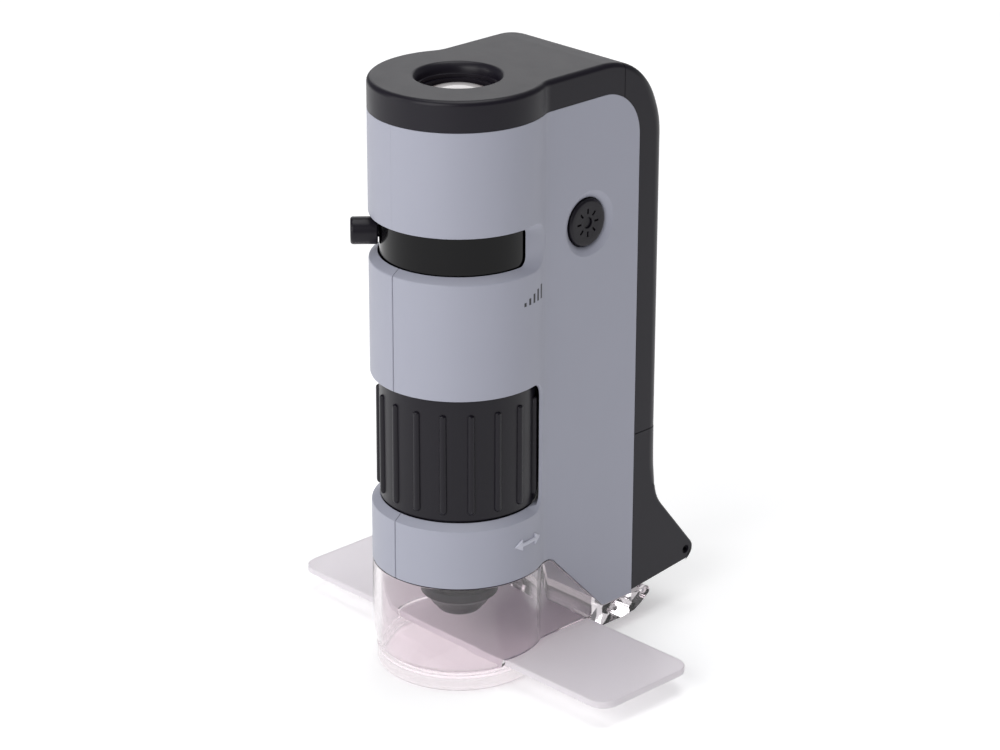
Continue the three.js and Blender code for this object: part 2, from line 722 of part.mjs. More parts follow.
function focusWheel() {
  const low = FOCUS_BOTTOM - 0.6;
  const high = FOCUS_TOP + 0.6;
  const inWindow = CLEAR / 2;
  const middle = TUBE_R + 1.1;
  const journal = 1.4;
  const drum = turned(
    [
      [TUBE_R + CLEAR, low],
      [RING_R, low],
      [RING_R, FOCUS_BOTTOM + inWindow],
      [WHEEL_R, FOCUS_BOTTOM + inWindow],
      [WHEEL_R, FOCUS_TOP - inWindow],
      [RING_R, FOCUS_TOP - inWindow],
      [RING_R, high],
      [TUBE_R + CLEAR, high],
      [TUBE_R + CLEAR, high - journal],
      [middle, high - journal],
      [middle, low + journal],
      [TUBE_R + CLEAR, low + journal],
      [TUBE_R + CLEAR, low],
    ],
    45,
  );
  let wheel = drum;
  const half = RIB_WIDTH / 2;
  const straight = RIB_LENGTH / 2 - half;
  const ribOutline = [...arc(0, straight, half, 0, 180, 45), ...arc(0, -straight, half, 180, 360, 45)];
  for (let i = 0; i < RIB_COUNT; i++) {
    const rib = new THREE.ExtrudeGeometry(new THREE.Shape(ribOutline), {
      depth: RIB_HEIGHT + 0.5,
      bevelEnabled: false,
    });
    rib.rotateX(Math.PI / 2).translate(0, -WHEEL_R + 0.5, RIB_LEVEL);
    rib.rotateZ(rad(RIB_PHASE + (360 * i) / RIB_COUNT));
    wheel = wheel.add(solid(rib));
  }
  return wheel;
}

const SHOULDER = 32; // height where the neck widens to the barrel
const FOCUS_PIN_LEVEL = FOCUS_LEVEL + 4.5;
const SPIGOT_R = 4.6;
function objectiveBarrel() {
  const low = OBJECTIVE_DISC + 1.7 + SEAM;
  const high = FOCUS_PIN_LEVEL + 3;
  const bore = SPIGOT_R + CLEAR;
  const barrel = turned([
    [bore, low],
    [NECK_TUBE_R, low],
    [NECK_TUBE_R, SHOULDER],
    [BARREL_OUT, SHOULDER],
    [BARREL_OUT, high],
    [bore + 2, high],
    [bore + 2, SHOULDER + 4],
    [bore, SHOULDER + 4],
    [bore, low],
  ]);
  return barrel.subtract(pinHoleAt(FOCUS_PIN_LEVEL));
}

const FRONT_LENS_R = 3;
function objectiveNose() {
  const lensSeat = OBJECTIVE_TIP + 1.4;
  return turned([
    [2.4, OBJECTIVE_TIP],
    [OBJECTIVE_TIP_R, OBJECTIVE_TIP],
    [OBJECTIVE_TIP_R + 1.3, OBJECTIVE_DISC],
    [OBJECTIVE_DISC_R, OBJECTIVE_DISC],
    [OBJECTIVE_DISC_R, OBJECTIVE_DISC + 1.7],
    [SPIGOT_R, OBJECTIVE_DISC + 1.7],
    [SPIGOT_R, OBJECTIVE_DISC + 6],
    [FRONT_LENS_R + SEAM, OBJECTIVE_DISC + 6],
    [FRONT_LENS_R + SEAM, lensSeat],
    [2.4, lensSeat],
    [2.4, OBJECTIVE_TIP],
  ]);
}

// ---------------------------------------------------------------- cell, board and lamp

const TRAY_HALF = 8.9; // the lamp button stops short of it at full press
const SHELF_HALF = 7.4;
const TRAY_TOP = CELL_TOP + 1.9;
const TRAY_BOTTOM = CELL_BOTTOM - 5.5;
function batteryTray() {
  const back = CELL_Y + CELL_R - 0.6;
  const web = block(-TRAY_HALF, TRAY_HALF, TRAY_FRONT, TRAY_FRONT + TRAY_WALL, TRAY_BOTTOM, TRAY_TOP);
  const shelf = (z) => block(-SHELF_HALF, SHELF_HALF, TRAY_FRONT, back, z, z + 1);
  return web.add(shelf(TRAY_BOTTOM)).add(shelf(TRAY_TOP - 1));
}

function cell() {
  const shoulder = CELL_TOP - 1;
  const rim = 0.5;
  return turned(
    [
      [0, CELL_BOTTOM],
      [CELL_R - rim, CELL_BOTTOM],
      [CELL_R, CELL_BOTTOM + rim],
      [CELL_R, shoulder - rim],
      [CELL_R - rim, shoulder],
      [2.7, shoulder],
      [2.7, CELL_TOP],
      [0, CELL_TOP],
    ],
    32,
  );
}

const BOARD_X = CELL_R + 0.4;
const BOARD_THICK = 0.6;
const SWITCH_X = BOARD_X + BOARD_THICK + 0.1;
function circuitBoard() {
  const y0 = TRAY_FRONT + TRAY_WALL + CLEAR;
  return block(BOARD_X, BOARD_X + BOARD_THICK, y0, y0 + 5.3, BUTTON_LEVEL - 12.6, BUTTON_LEVEL + 11.4);
}

function tactSwitch() {
  const half = 1.9;
  const body = block(
    SWITCH_X,
    SWITCH_X + 0.6,
    BUTTON_Y - half,
    BUTTON_Y + half,
    BUTTON_LEVEL - half,
    BUTTON_LEVEL + half,
  );
  return body.add(crossBar(1.2, SWITCH_X + 0.3, SWITCH_X + 0.85, BUTTON_Y, BUTTON_LEVEL, 16));
}

// Made about +Z with its front face at height 0, and turned to face +X.
function ledButton() {
  const back = BLOCK_HALF - 0.3 - (SWITCH_X + 0.85 + 0.6);
  const flange = 0.7;
  return turned(
    [
      [0, -back],
      [BUTTON_R + 0.75, -back],
      [BUTTON_R + 0.75, flange - back],
      [BUTTON_R, flange - back],
      [BUTTON_R, -0.35],
      [BUTTON_R - 0.35, 0],
      [0, 0],
    ],
    32,
  );
}

// Made about +Z with its dome's top at height 0.
function lamp() {
  const dome = arc(0, 0, LAMP_R, 0, 90, 18).map((p) => [p.x, p.y - LAMP_R]);
  return turned([[0, -5.2], [LAMP_R + 0.35, -5.2], [LAMP_R + 0.35, -4.4], [LAMP_R, -4.4], ...dome], 20);
}

function lampLead() {
  const x = BOARD_X + 1;
  const y = TRAY_FRONT + TRAY_WALL + 1.5;
  const route = new THREE.CatmullRomCurve3([
    new THREE.Vector3(BOARD_X + 0.3, y + 1, BUTTON_LEVEL - 13.4),
    new THREE.Vector3(x, y, BUTTON_LEVEL - 20),
    new THREE.Vector3(x, y, 45),
    new THREE.Vector3(x, y, 31),
    new THREE.Vector3(x - 2.4, y, 25.5),
    new THREE.Vector3(2.2, y + 0.9, 22.6),
    new THREE.Vector3(0.2, y + 0.7, 21.4),
  ]);
  return wire(route, 0.5, 22);
}

// ---------------------------------------------------------------- clear base, hinge and slide

// The base seen from the side: it follows the shell's underside, and has its hinge at the rear top.
function baseSide() {
  const noseR = KNUCKLE_R;
  const wedge = new THREE.QuadraticBezierCurve(
    at(HINGE_Y + noseR * Math.cos(rad(-30)), HINGE_Z + noseR * Math.sin(rad(-30))),
    at(HINGE_Y - 1.6, WEDGE_BOTTOM),
    at(HINGE_Y - 5.6, WEDGE_BOTTOM),
  ).getPoints(5);
  const underFoot = [at(FOOT_BACK, WEDGE_BOTTOM), at(FOOT_BACK, 0), at(-FAR, 0)];
  const top = underLine(-SEAM, -FAR, HINGE_Y - KNUCKLE_R);
  const nose = arc(HINGE_Y, HINGE_Z, noseR, -30, 90, 20).reverse();
  return [...top, ...nose, ...wedge.slice(1), ...underFoot].reverse();
}

function flipBase() {
  const deep = BARREL_BOTTOM + BASE_CURVE + 2;
  const turnIn = [BASE_TURN_IN, BASE_CURVE];
  const walls = upright(keyhole(0, HINGE_Y + KNUCKLE_R), FOOT_TOP, deep + BASE_CURVE, ...turnIn);
  const foot = upright(keyhole(FOOT_BULGE, FOOT_BACK), 0, FOOT_TOP + 0.4, FOOT_ROUND, 1.5);
  const rear = block(
    -BLOCK_HALF,
    BLOCK_HALF,
    FOOT_BACK - 2,
    HINGE_Y + KNUCKLE_R,
    WEDGE_BOTTOM,
    LEG_BOTTOM + 1,
  );
  const inside = BASE_WALL + BASE_TURN_IN;
  const cavityBack = FOOT_BACK - 1.4;
  const cavity = upright(keyhole(BASE_WALL, cavityBack), FLOOR, deep + BASE_CURVE, ...turnIn).add(
    upright(keyhole(inside, cavityBack), FLOOR, deep),
  );
  const slideWay = block(
    -FAR,
    FAR,
    SLIDE_Y - SLIDE_WIDTH / 2 - CLEAR,
    SLIDE_Y + SLIDE_WIDTH / 2 + CLEAR,
    FOOT_TOP,
    SLIDE_SLOT_TOP,
  );
  let base = walls
    .add(foot)
    .add(rear)
    .intersect(across(baseSide(), -FAR, FAR))
    .subtract(cavity)
    .subtract(slideWay);
  for (const side of [-1, 1]) {
    const x0 = side * EAR_X - EAR_WIDTH / 2 - CLEAR;
    const x1 = side * EAR_X + EAR_WIDTH / 2 + CLEAR;
    base = base.subtract(block(x0, x1, HINGE_Y - KNUCKLE_R - 2 * CLEAR, FAR, 0, FAR));
  }
  const pinHole = crossBar(HINGE_PIN_R + PIN_CLEAR, -FAR, BLOCK_HALF - 0.8, HINGE_Y, HINGE_Z, 16);
  return base.subtract(pinHole);
}

function specimenSlide() {
  const x = SLIDE_LENGTH / 2 - SLIDE_CORNER_R;
  const y = SLIDE_WIDTH / 2 - SLIDE_CORNER_R;
  const outline = [
    ...arc(x, -y, SLIDE_CORNER_R, -90, 0, 18),
    ...arc(x, y, SLIDE_CORNER_R, 0, 90, 18),
    ...arc(-x, y, SLIDE_CORNER_R, 90, 180, 18),
    ...arc(-x, -y, SLIDE_CORNER_R, 180, 270, 18),
  ];
  return upright(outline, 0, SLIDE_THICK);
}

// Made about +Z with the top of its head at height 0.
function screw() {
  const length = BLOCK_HALF + 5.4;
  return turned(
    [
      [0, -length],
      [SCREW_R, -length],
      [SCREW_R, -SCREW_HEAD],
      [SCREW_HEAD_R, -SCREW_HEAD],
      [SCREW_HEAD_R, -0.3],
      [SCREW_HEAD_R - 0.3, 0],
      [0.5, 0],
      [0.5, -0.5],
      [0, -0.5],
    ],
    14,
  );
}

// ---------------------------------------------------------------- assembly

const body = new THREE.Group();
body.add(
  piece("left_shell", shellHalf(-1), greyPlastic),
  piece("right_shell", rightShell(), greyPlastic),
  piece("top_cap", topCap(), blackPlastic),
  piece("rear_stand", rearStand(), blackPlastic),
  piece("optical_frame", opticalFrame(), innerPlastic),
);

const eyepiece = new THREE.Group();
const eyeLens = piece("ocular_lens", eyeLensShape(), opticalGlass);
eyeLens.position.z = EYE_LENS_LEVEL;
const eyeRing = piece("ocular_ring", ring(EYE_DOME_R + SEAM, EYE_LENS_R, 0, 1.6, 40), blackGloss);
eyeRing.position.z = EYE_LENS_LEVEL + EYE_LENS_EDGE + 0.1;
eyepiece.add(piece("ocular_barrel", ocularBarrel(), innerPlastic), eyeLens, eyeRing);

const zoomRing = new THREE.Group();
const lever = piece("zoom_lever", zoomLever(), blackPlastic);
lever.position.set(
  Math.sin(rad(LEVER_ANGLE)) * (RING_R + CLEAR / 2),
  -Math.cos(rad(LEVER_ANGLE)) * (RING_R + CLEAR / 2),
  ZOOM_LEVEL,
);
lever.rotation.set(Math.PI / 2, 0, rad(LEVER_ANGLE), "ZYX");
zoomRing.add(piece("zoom_band", zoomBand(), blackGloss), lever);

const zoomCell = new THREE.Group();
const zoomLens = piece("zoom_lens", lensShape(ZOOM_LENS_R, 1.2, 0.9, 0.6), opticalGlass);
zoomLens.position.z = ZOOM_PIN_LEVEL - 3.1;
const zoomPin = piece("zoom_pin", guidePin(), steel);
zoomPin.position.set(0, BARREL_OUT - 1.6 + (TUBE_R + 2.3 - BARREL_OUT) / 2, ZOOM_PIN_LEVEL);
zoomCell.add(piece("zoom_carrier", zoomCarrier(), innerPlastic), zoomLens, zoomPin);

const objective = new THREE.Group();
const frontLens = piece("objective_lens", lensShape(FRONT_LENS_R, 1, 0.7, 0.5), opticalGlass);
frontLens.position.z = OBJECTIVE_TIP + 2.25;
const focusPin = piece("focus_pin", guidePin(), steel);
focusPin.position.set(0, zoomPin.position.y, FOCUS_PIN_LEVEL);
objective.add(
  piece("objective_barrel", objectiveBarrel(), innerPlastic),
  piece("objective_nose", objectiveNose(), blackPlastic),
  frontLens,
  focusPin,
);

const focusSpringBottom = BARREL_BOTTOM + WALL + CLEAR + PLATE + 0.6;
const focusSpring = piece(
  "focus_spring",
  wire(new Coil(7.35, 7.35, SHOULDER - 2.6 - focusSpringBottom, 5), 0.35, 50, 5),
  springSteel,
);
focusSpring.position.z = focusSpringBottom;

const power = new THREE.Group();
power.position.y = CELL_Y;
const cellSpring = piece("battery_spring", wire(new Coil(4.6, 2.2, 3, 3), 0.3, 30, 5), springSteel);
cellSpring.position.z = CELL_BOTTOM - 3.7;
const contact = piece("battery_contact", block(-4.5, 4.5, -4, 4, 0, 0.4), springSteel);
contact.position.z = CELL_TOP + 0.2;
power.add(piece("battery_cell", cell(), cellWrap), cellSpring, contact);

const button = piece("led_button", ledButton(), blackPlastic);
button.rotation.y = Math.PI / 2;
button.position.set(BLOCK_HALF - 0.3, BUTTON_Y, BUTTON_LEVEL);
const lampShape = solid(alongLamp(surface(lamp()), -0.4));
const socketRing = surface(ring(LAMP_R + CLEAR, 2.6, 0, 1.5, 24));
const socketShape = solid(alongLamp(socketRing, WALL + CLEAR + 1.5));
const electronics = new THREE.Group();
electronics.add(
  piece("circuit_board", circuitBoard(), boardGreen),
  piece("tact_switch", tactSwitch(), blackGloss),
  button,
  piece("lamp", lampShape, lampEpoxy),
  piece("lamp_socket", socketShape, innerPlastic),
  piece("lamp_lead", lampLead(), blackPlastic),
);

const base = new THREE.Group();
const slide = piece("specimen_slide", specimenSlide(), slidePlastic);
slide.position.set(SLIDE_X, SLIDE_Y, SLIDE_BOTTOM);
base.add(piece("flip_base", flipBase(), clearPlastic), slide);

const pinBar = crossBar(HINGE_PIN_R, -BLOCK_HALF + CLEAR, BLOCK_HALF - 1.2, 0, 0, 16);
const hingePin = piece("hinge_pin", pinBar, steel);
hingePin.position.set(0, HINGE_Y, HINGE_Z);

const screws = new THREE.Group();
SCREWS.forEach(({ back, level }, i) => {
  const shellScrew = piece("shell_screw_" + (i + 1), screw(), steel);
  shellScrew.rotation.y = -Math.PI / 2;
  shellScrew.position.set(CLEAR - BLOCK_HALF, BARREL_R + back, level);
  screws.add(shellScrew);
});

const group = new THREE.Group();
group.add(
  body,
  piece("battery_door", batteryDoor(), blackPlastic),
  piece("battery_tray", batteryTray(), innerPlastic),
  eyepiece,
  zoomRing,
  zoomCell,
  piece("focus_wheel", focusWheel(), blackPlastic),
  objective,
  focusSpring,
  power,
  electronics,
  base,
  hingePin,
  screws,
);
export default group;
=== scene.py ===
# %% [markdown]
# A handheld pocket microscope, about 100 mm tall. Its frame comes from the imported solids: every moving body,
# every size and every joint is already there. Here each visible piece is made again with soft edges and
# smooth curves, rides on its own body, and gets the finish of the real plastic, steel or glass.

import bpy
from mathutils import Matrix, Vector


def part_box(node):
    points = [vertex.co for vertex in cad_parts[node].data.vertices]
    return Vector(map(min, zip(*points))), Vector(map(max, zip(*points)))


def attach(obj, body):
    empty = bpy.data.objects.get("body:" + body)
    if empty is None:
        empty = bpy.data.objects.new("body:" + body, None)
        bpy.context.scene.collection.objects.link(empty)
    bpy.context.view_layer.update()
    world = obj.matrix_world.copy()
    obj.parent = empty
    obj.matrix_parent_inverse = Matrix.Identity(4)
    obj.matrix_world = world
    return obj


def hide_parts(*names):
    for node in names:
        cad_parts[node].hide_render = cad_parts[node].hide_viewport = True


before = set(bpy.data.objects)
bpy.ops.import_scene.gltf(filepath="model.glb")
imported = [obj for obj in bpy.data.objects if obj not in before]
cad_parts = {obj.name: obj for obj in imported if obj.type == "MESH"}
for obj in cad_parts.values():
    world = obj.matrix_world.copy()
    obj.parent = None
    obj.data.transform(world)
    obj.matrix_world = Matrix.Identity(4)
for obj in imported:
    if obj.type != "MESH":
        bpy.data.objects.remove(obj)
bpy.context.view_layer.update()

# %% [markdown]
# The real pieces are drawn in millimetres, so the shapes are modelled in millimetres too and scaled to metres
# when a piece is finished. The main sizes are read from the solids. If the frame changes, the looks follow.

# %% Main sizes in millimetres
from math import atan2, cos, degrees, pi, radians, sin, sqrt, tan

import bmesh
import bpy
from mathutils import Matrix, Vector

MM = 0.001
FAR = 200.0


def reach(node, side, axis):
    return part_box(node)[side]["xyz".index(axis)] / MM


BARREL_R = reach("right_shell", 1, "x")
HALF = reach("battery_door", 1, "x")
BLOCK_BACK = reach("right_shell", 1, "y")
BACK = reach("battery_door", 1, "y")
CAP_BOTTOM = reach("right_shell", 1, "z")
HEIGHT = reach("top_cap", 1, "z")
LEG_BOTTOM = reach("right_shell", 0, "z")
DOOR_BOTTOM = reach("battery_door", 0, "z")
RING_R = reach("zoom_band", 1, "x")
RIB_R = reach("focus_wheel", 1, "x")
print(f"barrel radius {BARREL_R:.2f}, block half width {HALF:.2f}, back {BACK:.2f}, height {HEIGHT:.2f} mm")

# %% [markdown]
# Most moulded parts begin as an outline. Typing coordinate lists hides how a shape is meant, so the outlines
# are drawn with a pen made of two operators: one extrudes the last point to a new place, the other spins it
# about a centre and leaves a fine chain of edges behind.

# %% Outline pen
def pen(x, y):
    bm = bmesh.new()
    return bm, bmesh.ops.create_vert(bm, co=(x, y, 0))["vert"][0]


def go(bm, tip, *places):
    for x, y in places:
        tip = bmesh.ops.extrude_vert_indiv(bm, verts=[tip])["verts"][0]
        tip.co = (x, y, 0)
    return tip


def turn(bm, tip, x, y, angle, steps=8):
    swept = bmesh.ops.spin(
        bm, geom=[tip], cent=(x, y, 0), axis=(0, 0, 1), angle=radians(angle), steps=steps, use_duplicate=False
    )
    return swept["geom_last"][0]


def both_sides(bm):
    bmesh.ops.mirror(bm, geom=bm.verts[:] + bm.edges[:], matrix=Matrix.Identity(4), merge_dist=0.001, axis="X")
    bmesh.ops.remove_doubles(bm, verts=bm.verts[:], dist=0.001)
    return bm


def close(bm, tip):
    bm.verts.ensure_lookup_table()
    bmesh.ops.contextual_create(bm, geom=[tip, bm.verts[0]])
    bmesh.ops.remove_doubles(bm, verts=bm.verts[:], dist=0.001)
    return bm


# %% [markdown]
# A closed outline becomes a solid in one of four ways: pushed up along Z, pushed sideways along X for a side
# view, spun about Z for everything that is turned, or lofted through several outlines at different heights.

# %% From outline to solid
SIDEWAYS = Matrix(((0, 0, 1, 0), (1, 0, 0, 0), (0, 1, 0, 0), (0, 0, 0, 1)))


def outward(bm):
    bmesh.ops.recalc_face_normals(bm, faces=bm.faces[:])
    return bm


def upright(bm, low, high):
    bmesh.ops.edgeloop_fill(bm, edges=bm.edges[:])
    bmesh.ops.translate(bm, verts=bm.verts[:], vec=(0, 0, low))
    pushed = bmesh.ops.extrude_face_region(bm, geom=bm.faces[:])["geom"]
    top = [part for part in pushed if isinstance(part, bmesh.types.BMVert)]
    bmesh.ops.translate(bm, verts=top, vec=(0, 0, high - low))
    return outward(bm)


def across(bm, low, high):
    upright(bm, low, high)
    bmesh.ops.transform(bm, matrix=SIDEWAYS, verts=bm.verts[:])
    return outward(bm)


def turned(bm, steps=96):
    bmesh.ops.rotate(bm, verts=bm.verts[:], cent=(0, 0, 0), matrix=Matrix.Rotation(pi / 2, 3, "X"))
    bmesh.ops.spin(
        bm, geom=bm.verts[:] + bm.edges[:], cent=(0, 0, 0), axis=(0, 0, 1), angle=2 * pi, steps=steps,
        use_merge=True, use_duplicate=False,
    )
    bmesh.ops.remove_doubles(bm, verts=bm.verts[:], dist=0.0005)
    return outward(bm)


def loft(rings):
    """rings: closed outlines with their heights, from one end of the solid to the other."""
    whole, loops = bmesh.new(), []
    for outline, height in rings:
        bmesh.ops.translate(outline, verts=outline.verts[:], vec=(0, 0, height))
        holder = bpy.data.meshes.new("ring")
        outline.to_mesh(holder)
        before = len(whole.edges)
        whole.from_mesh(holder)
        whole.edges.ensure_lookup_table()
        loops.append(whole.edges[before:])
        bpy.data.meshes.remove(holder)
        outline.free()
    for lower, upper in zip(loops, loops[1:]):
        bmesh.ops.bridge_loops(whole, edges=lower + upper)
    for end in (loops[0], loops[-1]):
        bmesh.ops.edgeloop_fill(whole, edges=end)
    return outward(whole)


def block(x0, x1, y0, y1, z0, z1):
    bm = bmesh.new()
    bmesh.ops.create_cube(bm, size=1)
    bmesh.ops.scale(bm, verts=bm.verts[:], vec=(x1 - x0, y1 - y0, z1 - z0))
    bmesh.ops.translate(bm, verts=bm.verts[:], vec=((x0 + x1) / 2, (y0 + y1) / 2, (z0 + z1) / 2))
    return bm


def rounded(bm, size, segments=4, sharper_than=50, only=lambda edge: True):
    """Rounds the edges where two faces meet at more than an angle."""
    edges = [e for e in bm.edges if len(e.link_faces) == 2 and only(e) and e.calc_face_angle() > radians(sharper_than)]
    bmesh.ops.bevel(
        bm, geom=edges, offset=size, offset_type="OFFSET", affect="EDGES", segments=segments, profile=0.5,
        material=-1, clamp_overlap=False,
    )
    return bm


# %% [markdown]
# Mould makers cut windows and pockets out of a plain body. The Boolean modifier does the same. Both solids are
# given up, and what is left comes back as a new bmesh, so cuts can follow one another.

# %% Cutting and joining
def as_object(name, bm):
    mesh = bpy.data.meshes.new(name)
    bm.to_mesh(mesh)
    bm.free()
    made = bpy.data.objects.new(name, mesh)
    bpy.context.scene.collection.objects.link(made)
    return made


def evaluated(made):
    result = bmesh.new()
    result.from_object(made, bpy.context.evaluated_depsgraph_get())
    mesh = made.data
    bpy.data.objects.remove(made)
    bpy.data.meshes.remove(mesh)
    return result


def carve(bm, *tools, how="DIFFERENCE"):
    for tool in tools:
        work, other = as_object("work", bm), as_object("tool", tool)
        cut = work.modifiers.new("cut", "BOOLEAN")
        cut.operation, cut.solver, cut.object = how, "EXACT", other
        bm, mesh = evaluated(work), other.data
        bpy.data.objects.remove(other)
        bpy.data.meshes.remove(mesh)
    return bm


def join(bm, *tools):
    return carve(bm, *tools, how="UNION")


def common(bm, *tools):
    return carve(bm, *tools, how="INTERSECT")


def turn_cylinder(r, low, high, steps=48):
    bm, tip = pen(0, low)
    go(bm, tip, (r, low), (r, high), (0, high))
    return turned(bm, steps)


def cross_bar(r, x0, x1, y, z, steps=40):
    bm = turn_cylinder(r, x0, x1, steps)
    bmesh.ops.rotate(bm, verts=bm.verts[:], cent=(0, 0, 0), matrix=Matrix.Rotation(pi / 2, 3, "Y"))
    bmesh.ops.translate(bm, verts=bm.verts[:], vec=(0, y, z))
    return bm


# %% [markdown]
# A finished piece is scaled to metres with its place in its mesh, takes its material, rides on its body and
# stands for the solid that it replaces. Faces that meet at a small angle are shaded as one smooth surface, and
# weighted normals keep the wide flat faces flat next to their narrow rounded edges.

# %% Finishing a piece
def finish(name, bm, material, body, nodes, crease=32):
    bmesh.ops.scale(bm, verts=bm.verts[:], vec=(MM, MM, MM))
    made = as_object(name, bm)
    made.data.materials.append(material)
    made.data.polygons.foreach_set("use_smooth", [True] * len(made.data.polygons))
    made.data.set_sharp_from_angle(angle=radians(crease))
    normals = made.modifiers.new("flat faces stay flat", "WEIGHTED_NORMAL")
    normals.keep_sharp = True
    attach(made, body)
    if nodes:
        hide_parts(*nodes)
    print(f"{name}: {len(made.data.polygons)} faces, rides on {body}")
    return made

# %% [markdown]
# Moulded plastic is never one flat colour: its tone drifts a little over a hand's breadth, its gloss is uneven,
# and a fine spark-eroded grain breaks the light. Three finishes need the same effect at different strengths,
# so it is one node group that gives a colour, a roughness and a height.

# %% Shared surface effects
def socket(group, name, kind, way="INPUT"):
    return group.interface.new_socket(name=name, in_out=way, socket_type="NodeSocket" + kind)


def noise(group, place, scale, detail, roughness=0.5):
    node = group.nodes.new("ShaderNodeTexNoise")
    group.links.new(place, node.inputs["Vector"])
    node.inputs["Scale"].default_value = scale
    node.inputs["Detail"].default_value = detail
    node.inputs["Roughness"].default_value = roughness
    return node.outputs["Fac"]


def maths(group, how, a, b, c=0.0):
    node = group.nodes.new("ShaderNodeMath")
    node.operation = how
    for place, value in zip(node.inputs, (a, b, c)):
        if isinstance(value, bpy.types.NodeSocket):
            group.links.new(value, place)
        else:
            place.default_value = value
    return node.outputs[0]


def mixed(group, share, first, second):
    node = group.nodes.new("ShaderNodeMix")
    node.data_type = "RGBA"
    for name, value in (("Factor_Float", share), ("A_Color", first), ("B_Color", second)):
        place = next(s for s in node.inputs if s.identifier == name)
        if isinstance(value, bpy.types.NodeSocket):
            group.links.new(value, place)
        else:
            place.default_value = value
    return next(s for s in node.outputs if s.identifier == "Result_Color")


def new_group(name, inputs, outputs):
    group = bpy.data.node_groups.new(name, "ShaderNodeTree")
    for label, kind in inputs:
        socket(group, label, kind)
    for label, kind in outputs:
        socket(group, label, kind, "OUTPUT")
    given, result = group.nodes.new("NodeGroupInput"), group.nodes.new("NodeGroupOutput")
    return group, given.outputs, result.inputs


def moulded_skin():
    group, given, result = new_group(
        "moulded skin",
        [("Colour", "Color"), ("Drift Colour", "Color"), ("Roughness", "Float"), ("Unevenness", "Float"),
         ("Grain Size", "Float")],
        [("Colour", "Color"), ("Roughness", "Float"), ("Height", "Float")],
    )
    place = group.nodes.new("ShaderNodeTexCoord").outputs["Object"]
    drift = noise(group, place, 38.0, 3.0)
    patches = noise(group, place, 210.0, 4.0, 0.6)
    grain_scale = maths(group, "DIVIDE", 1.0, given["Grain Size"])
    grain = noise(group, place, 1.0, 2.0, 0.6)
    group.links.new(grain_scale, grain.node.inputs["Scale"])
    group.links.new(mixed(group, drift, given["Colour"], given["Drift Colour"]), result["Colour"])
    swing = maths(group, "MULTIPLY", maths(group, "SUBTRACT", patches, 0.5), given["Unevenness"])
    group.links.new(maths(group, "ADD", given["Roughness"], swing), result["Roughness"])
    group.links.new(grain, result["Height"])
    return group


MOULDED_SKIN = moulded_skin()
print("node group:", MOULDED_SKIN.name)

# %% [markdown]
# Handled gloss and clear parts show something else: faint smears and a few hairlines. They only change how
# sharp the reflection is, so this group gives a roughness and a height and leaves the colour alone.

# %% Smears and hairlines
def handled_gloss():
    group, given, result = new_group(
        "handled gloss", [("Roughness", "Float"), ("Smears", "Float")], [("Roughness", "Float"), ("Height", "Float")]
    )
    place = group.nodes.new("ShaderNodeTexCoord").outputs["Object"]
    smear = noise(group, place, 95.0, 5.0, 0.65)
    stretched = group.nodes.new("ShaderNodeMapping")
    stretched.inputs["Scale"].default_value = (90.0, 900.0, 60.0)
    stretched.inputs["Rotation"].default_value = (0.3, 0.5, 0.8)
    group.links.new(place, stretched.inputs["Vector"])
    hairs = noise(group, stretched.outputs["Vector"], 1.0, 2.0)
    both = maths(group, "MULTIPLY", maths(group, "MULTIPLY", smear, smear), given["Smears"])
    group.links.new(maths(group, "ADD", given["Roughness"], both), result["Roughness"])
    group.links.new(hairs, result["Height"])
    return group


HANDLED_GLOSS = handled_gloss()
print("node group:", HANDLED_GLOSS.name)

# %% [markdown]
# Each material keeps its own Principled shader. Whatever is the same all over sits on the shader's sockets,
# and the groups feed only what changes from place to place.

# %% Materials
def linear(*srgb):
    return tuple((c / 255) ** 2.2 for c in srgb) + (1.0,)


def shader(name, colour, roughness, **constants):
    made = bpy.data.materials.new(name)
    made.use_nodes = True
    principled = made.node_tree.nodes["Principled BSDF"]
    principled.inputs["Base Color"].default_value = colour
    principled.inputs["Roughness"].default_value = roughness
    for label, value in constants.items():
        principled.inputs[label.replace("_", " ")].default_value = value
    return made, made.node_tree, principled.inputs


def bump(tree, height, distance, normal):
    node = tree.nodes.new("ShaderNodeBump")
    node.inputs["Strength"].default_value = 1.0
    node.inputs["Distance"].default_value = distance
    tree.links.new(height, node.inputs["Height"])
    tree.links.new(node.outputs["Normal"], normal)


def moulded(name, colour, drift, roughness, unevenness=0.12, grain=0.00016, depth=0.000004, **constants):
    made, tree, inputs = shader(name, colour, roughness, **constants)
    skin = tree.nodes.new("ShaderNodeGroup")
    skin.node_tree = MOULDED_SKIN
    for label, value in (("Colour", colour), ("Drift Colour", drift), ("Roughness", roughness),
                         ("Unevenness", unevenness), ("Grain Size", grain)):
        skin.inputs[label].default_value = value
    tree.links.new(skin.outputs["Colour"], inputs["Base Color"])
    tree.links.new(skin.outputs["Roughness"], inputs["Roughness"])
    bump(tree, skin.outputs["Height"], depth, inputs["Normal"])
    return made


def glossy(name, colour, roughness, smears=0.05, depth=0.0000004, **constants):
    made, tree, inputs = shader(name, colour, roughness, **constants)
    skin = tree.nodes.new("ShaderNodeGroup")
    skin.node_tree = HANDLED_GLOSS
    skin.inputs["Roughness"].default_value = roughness
    skin.inputs["Smears"].default_value = smears
    tree.links.new(skin.outputs["Roughness"], inputs["Roughness"])
    bump(tree, skin.outputs["Height"], depth, inputs["Normal"])
    return made


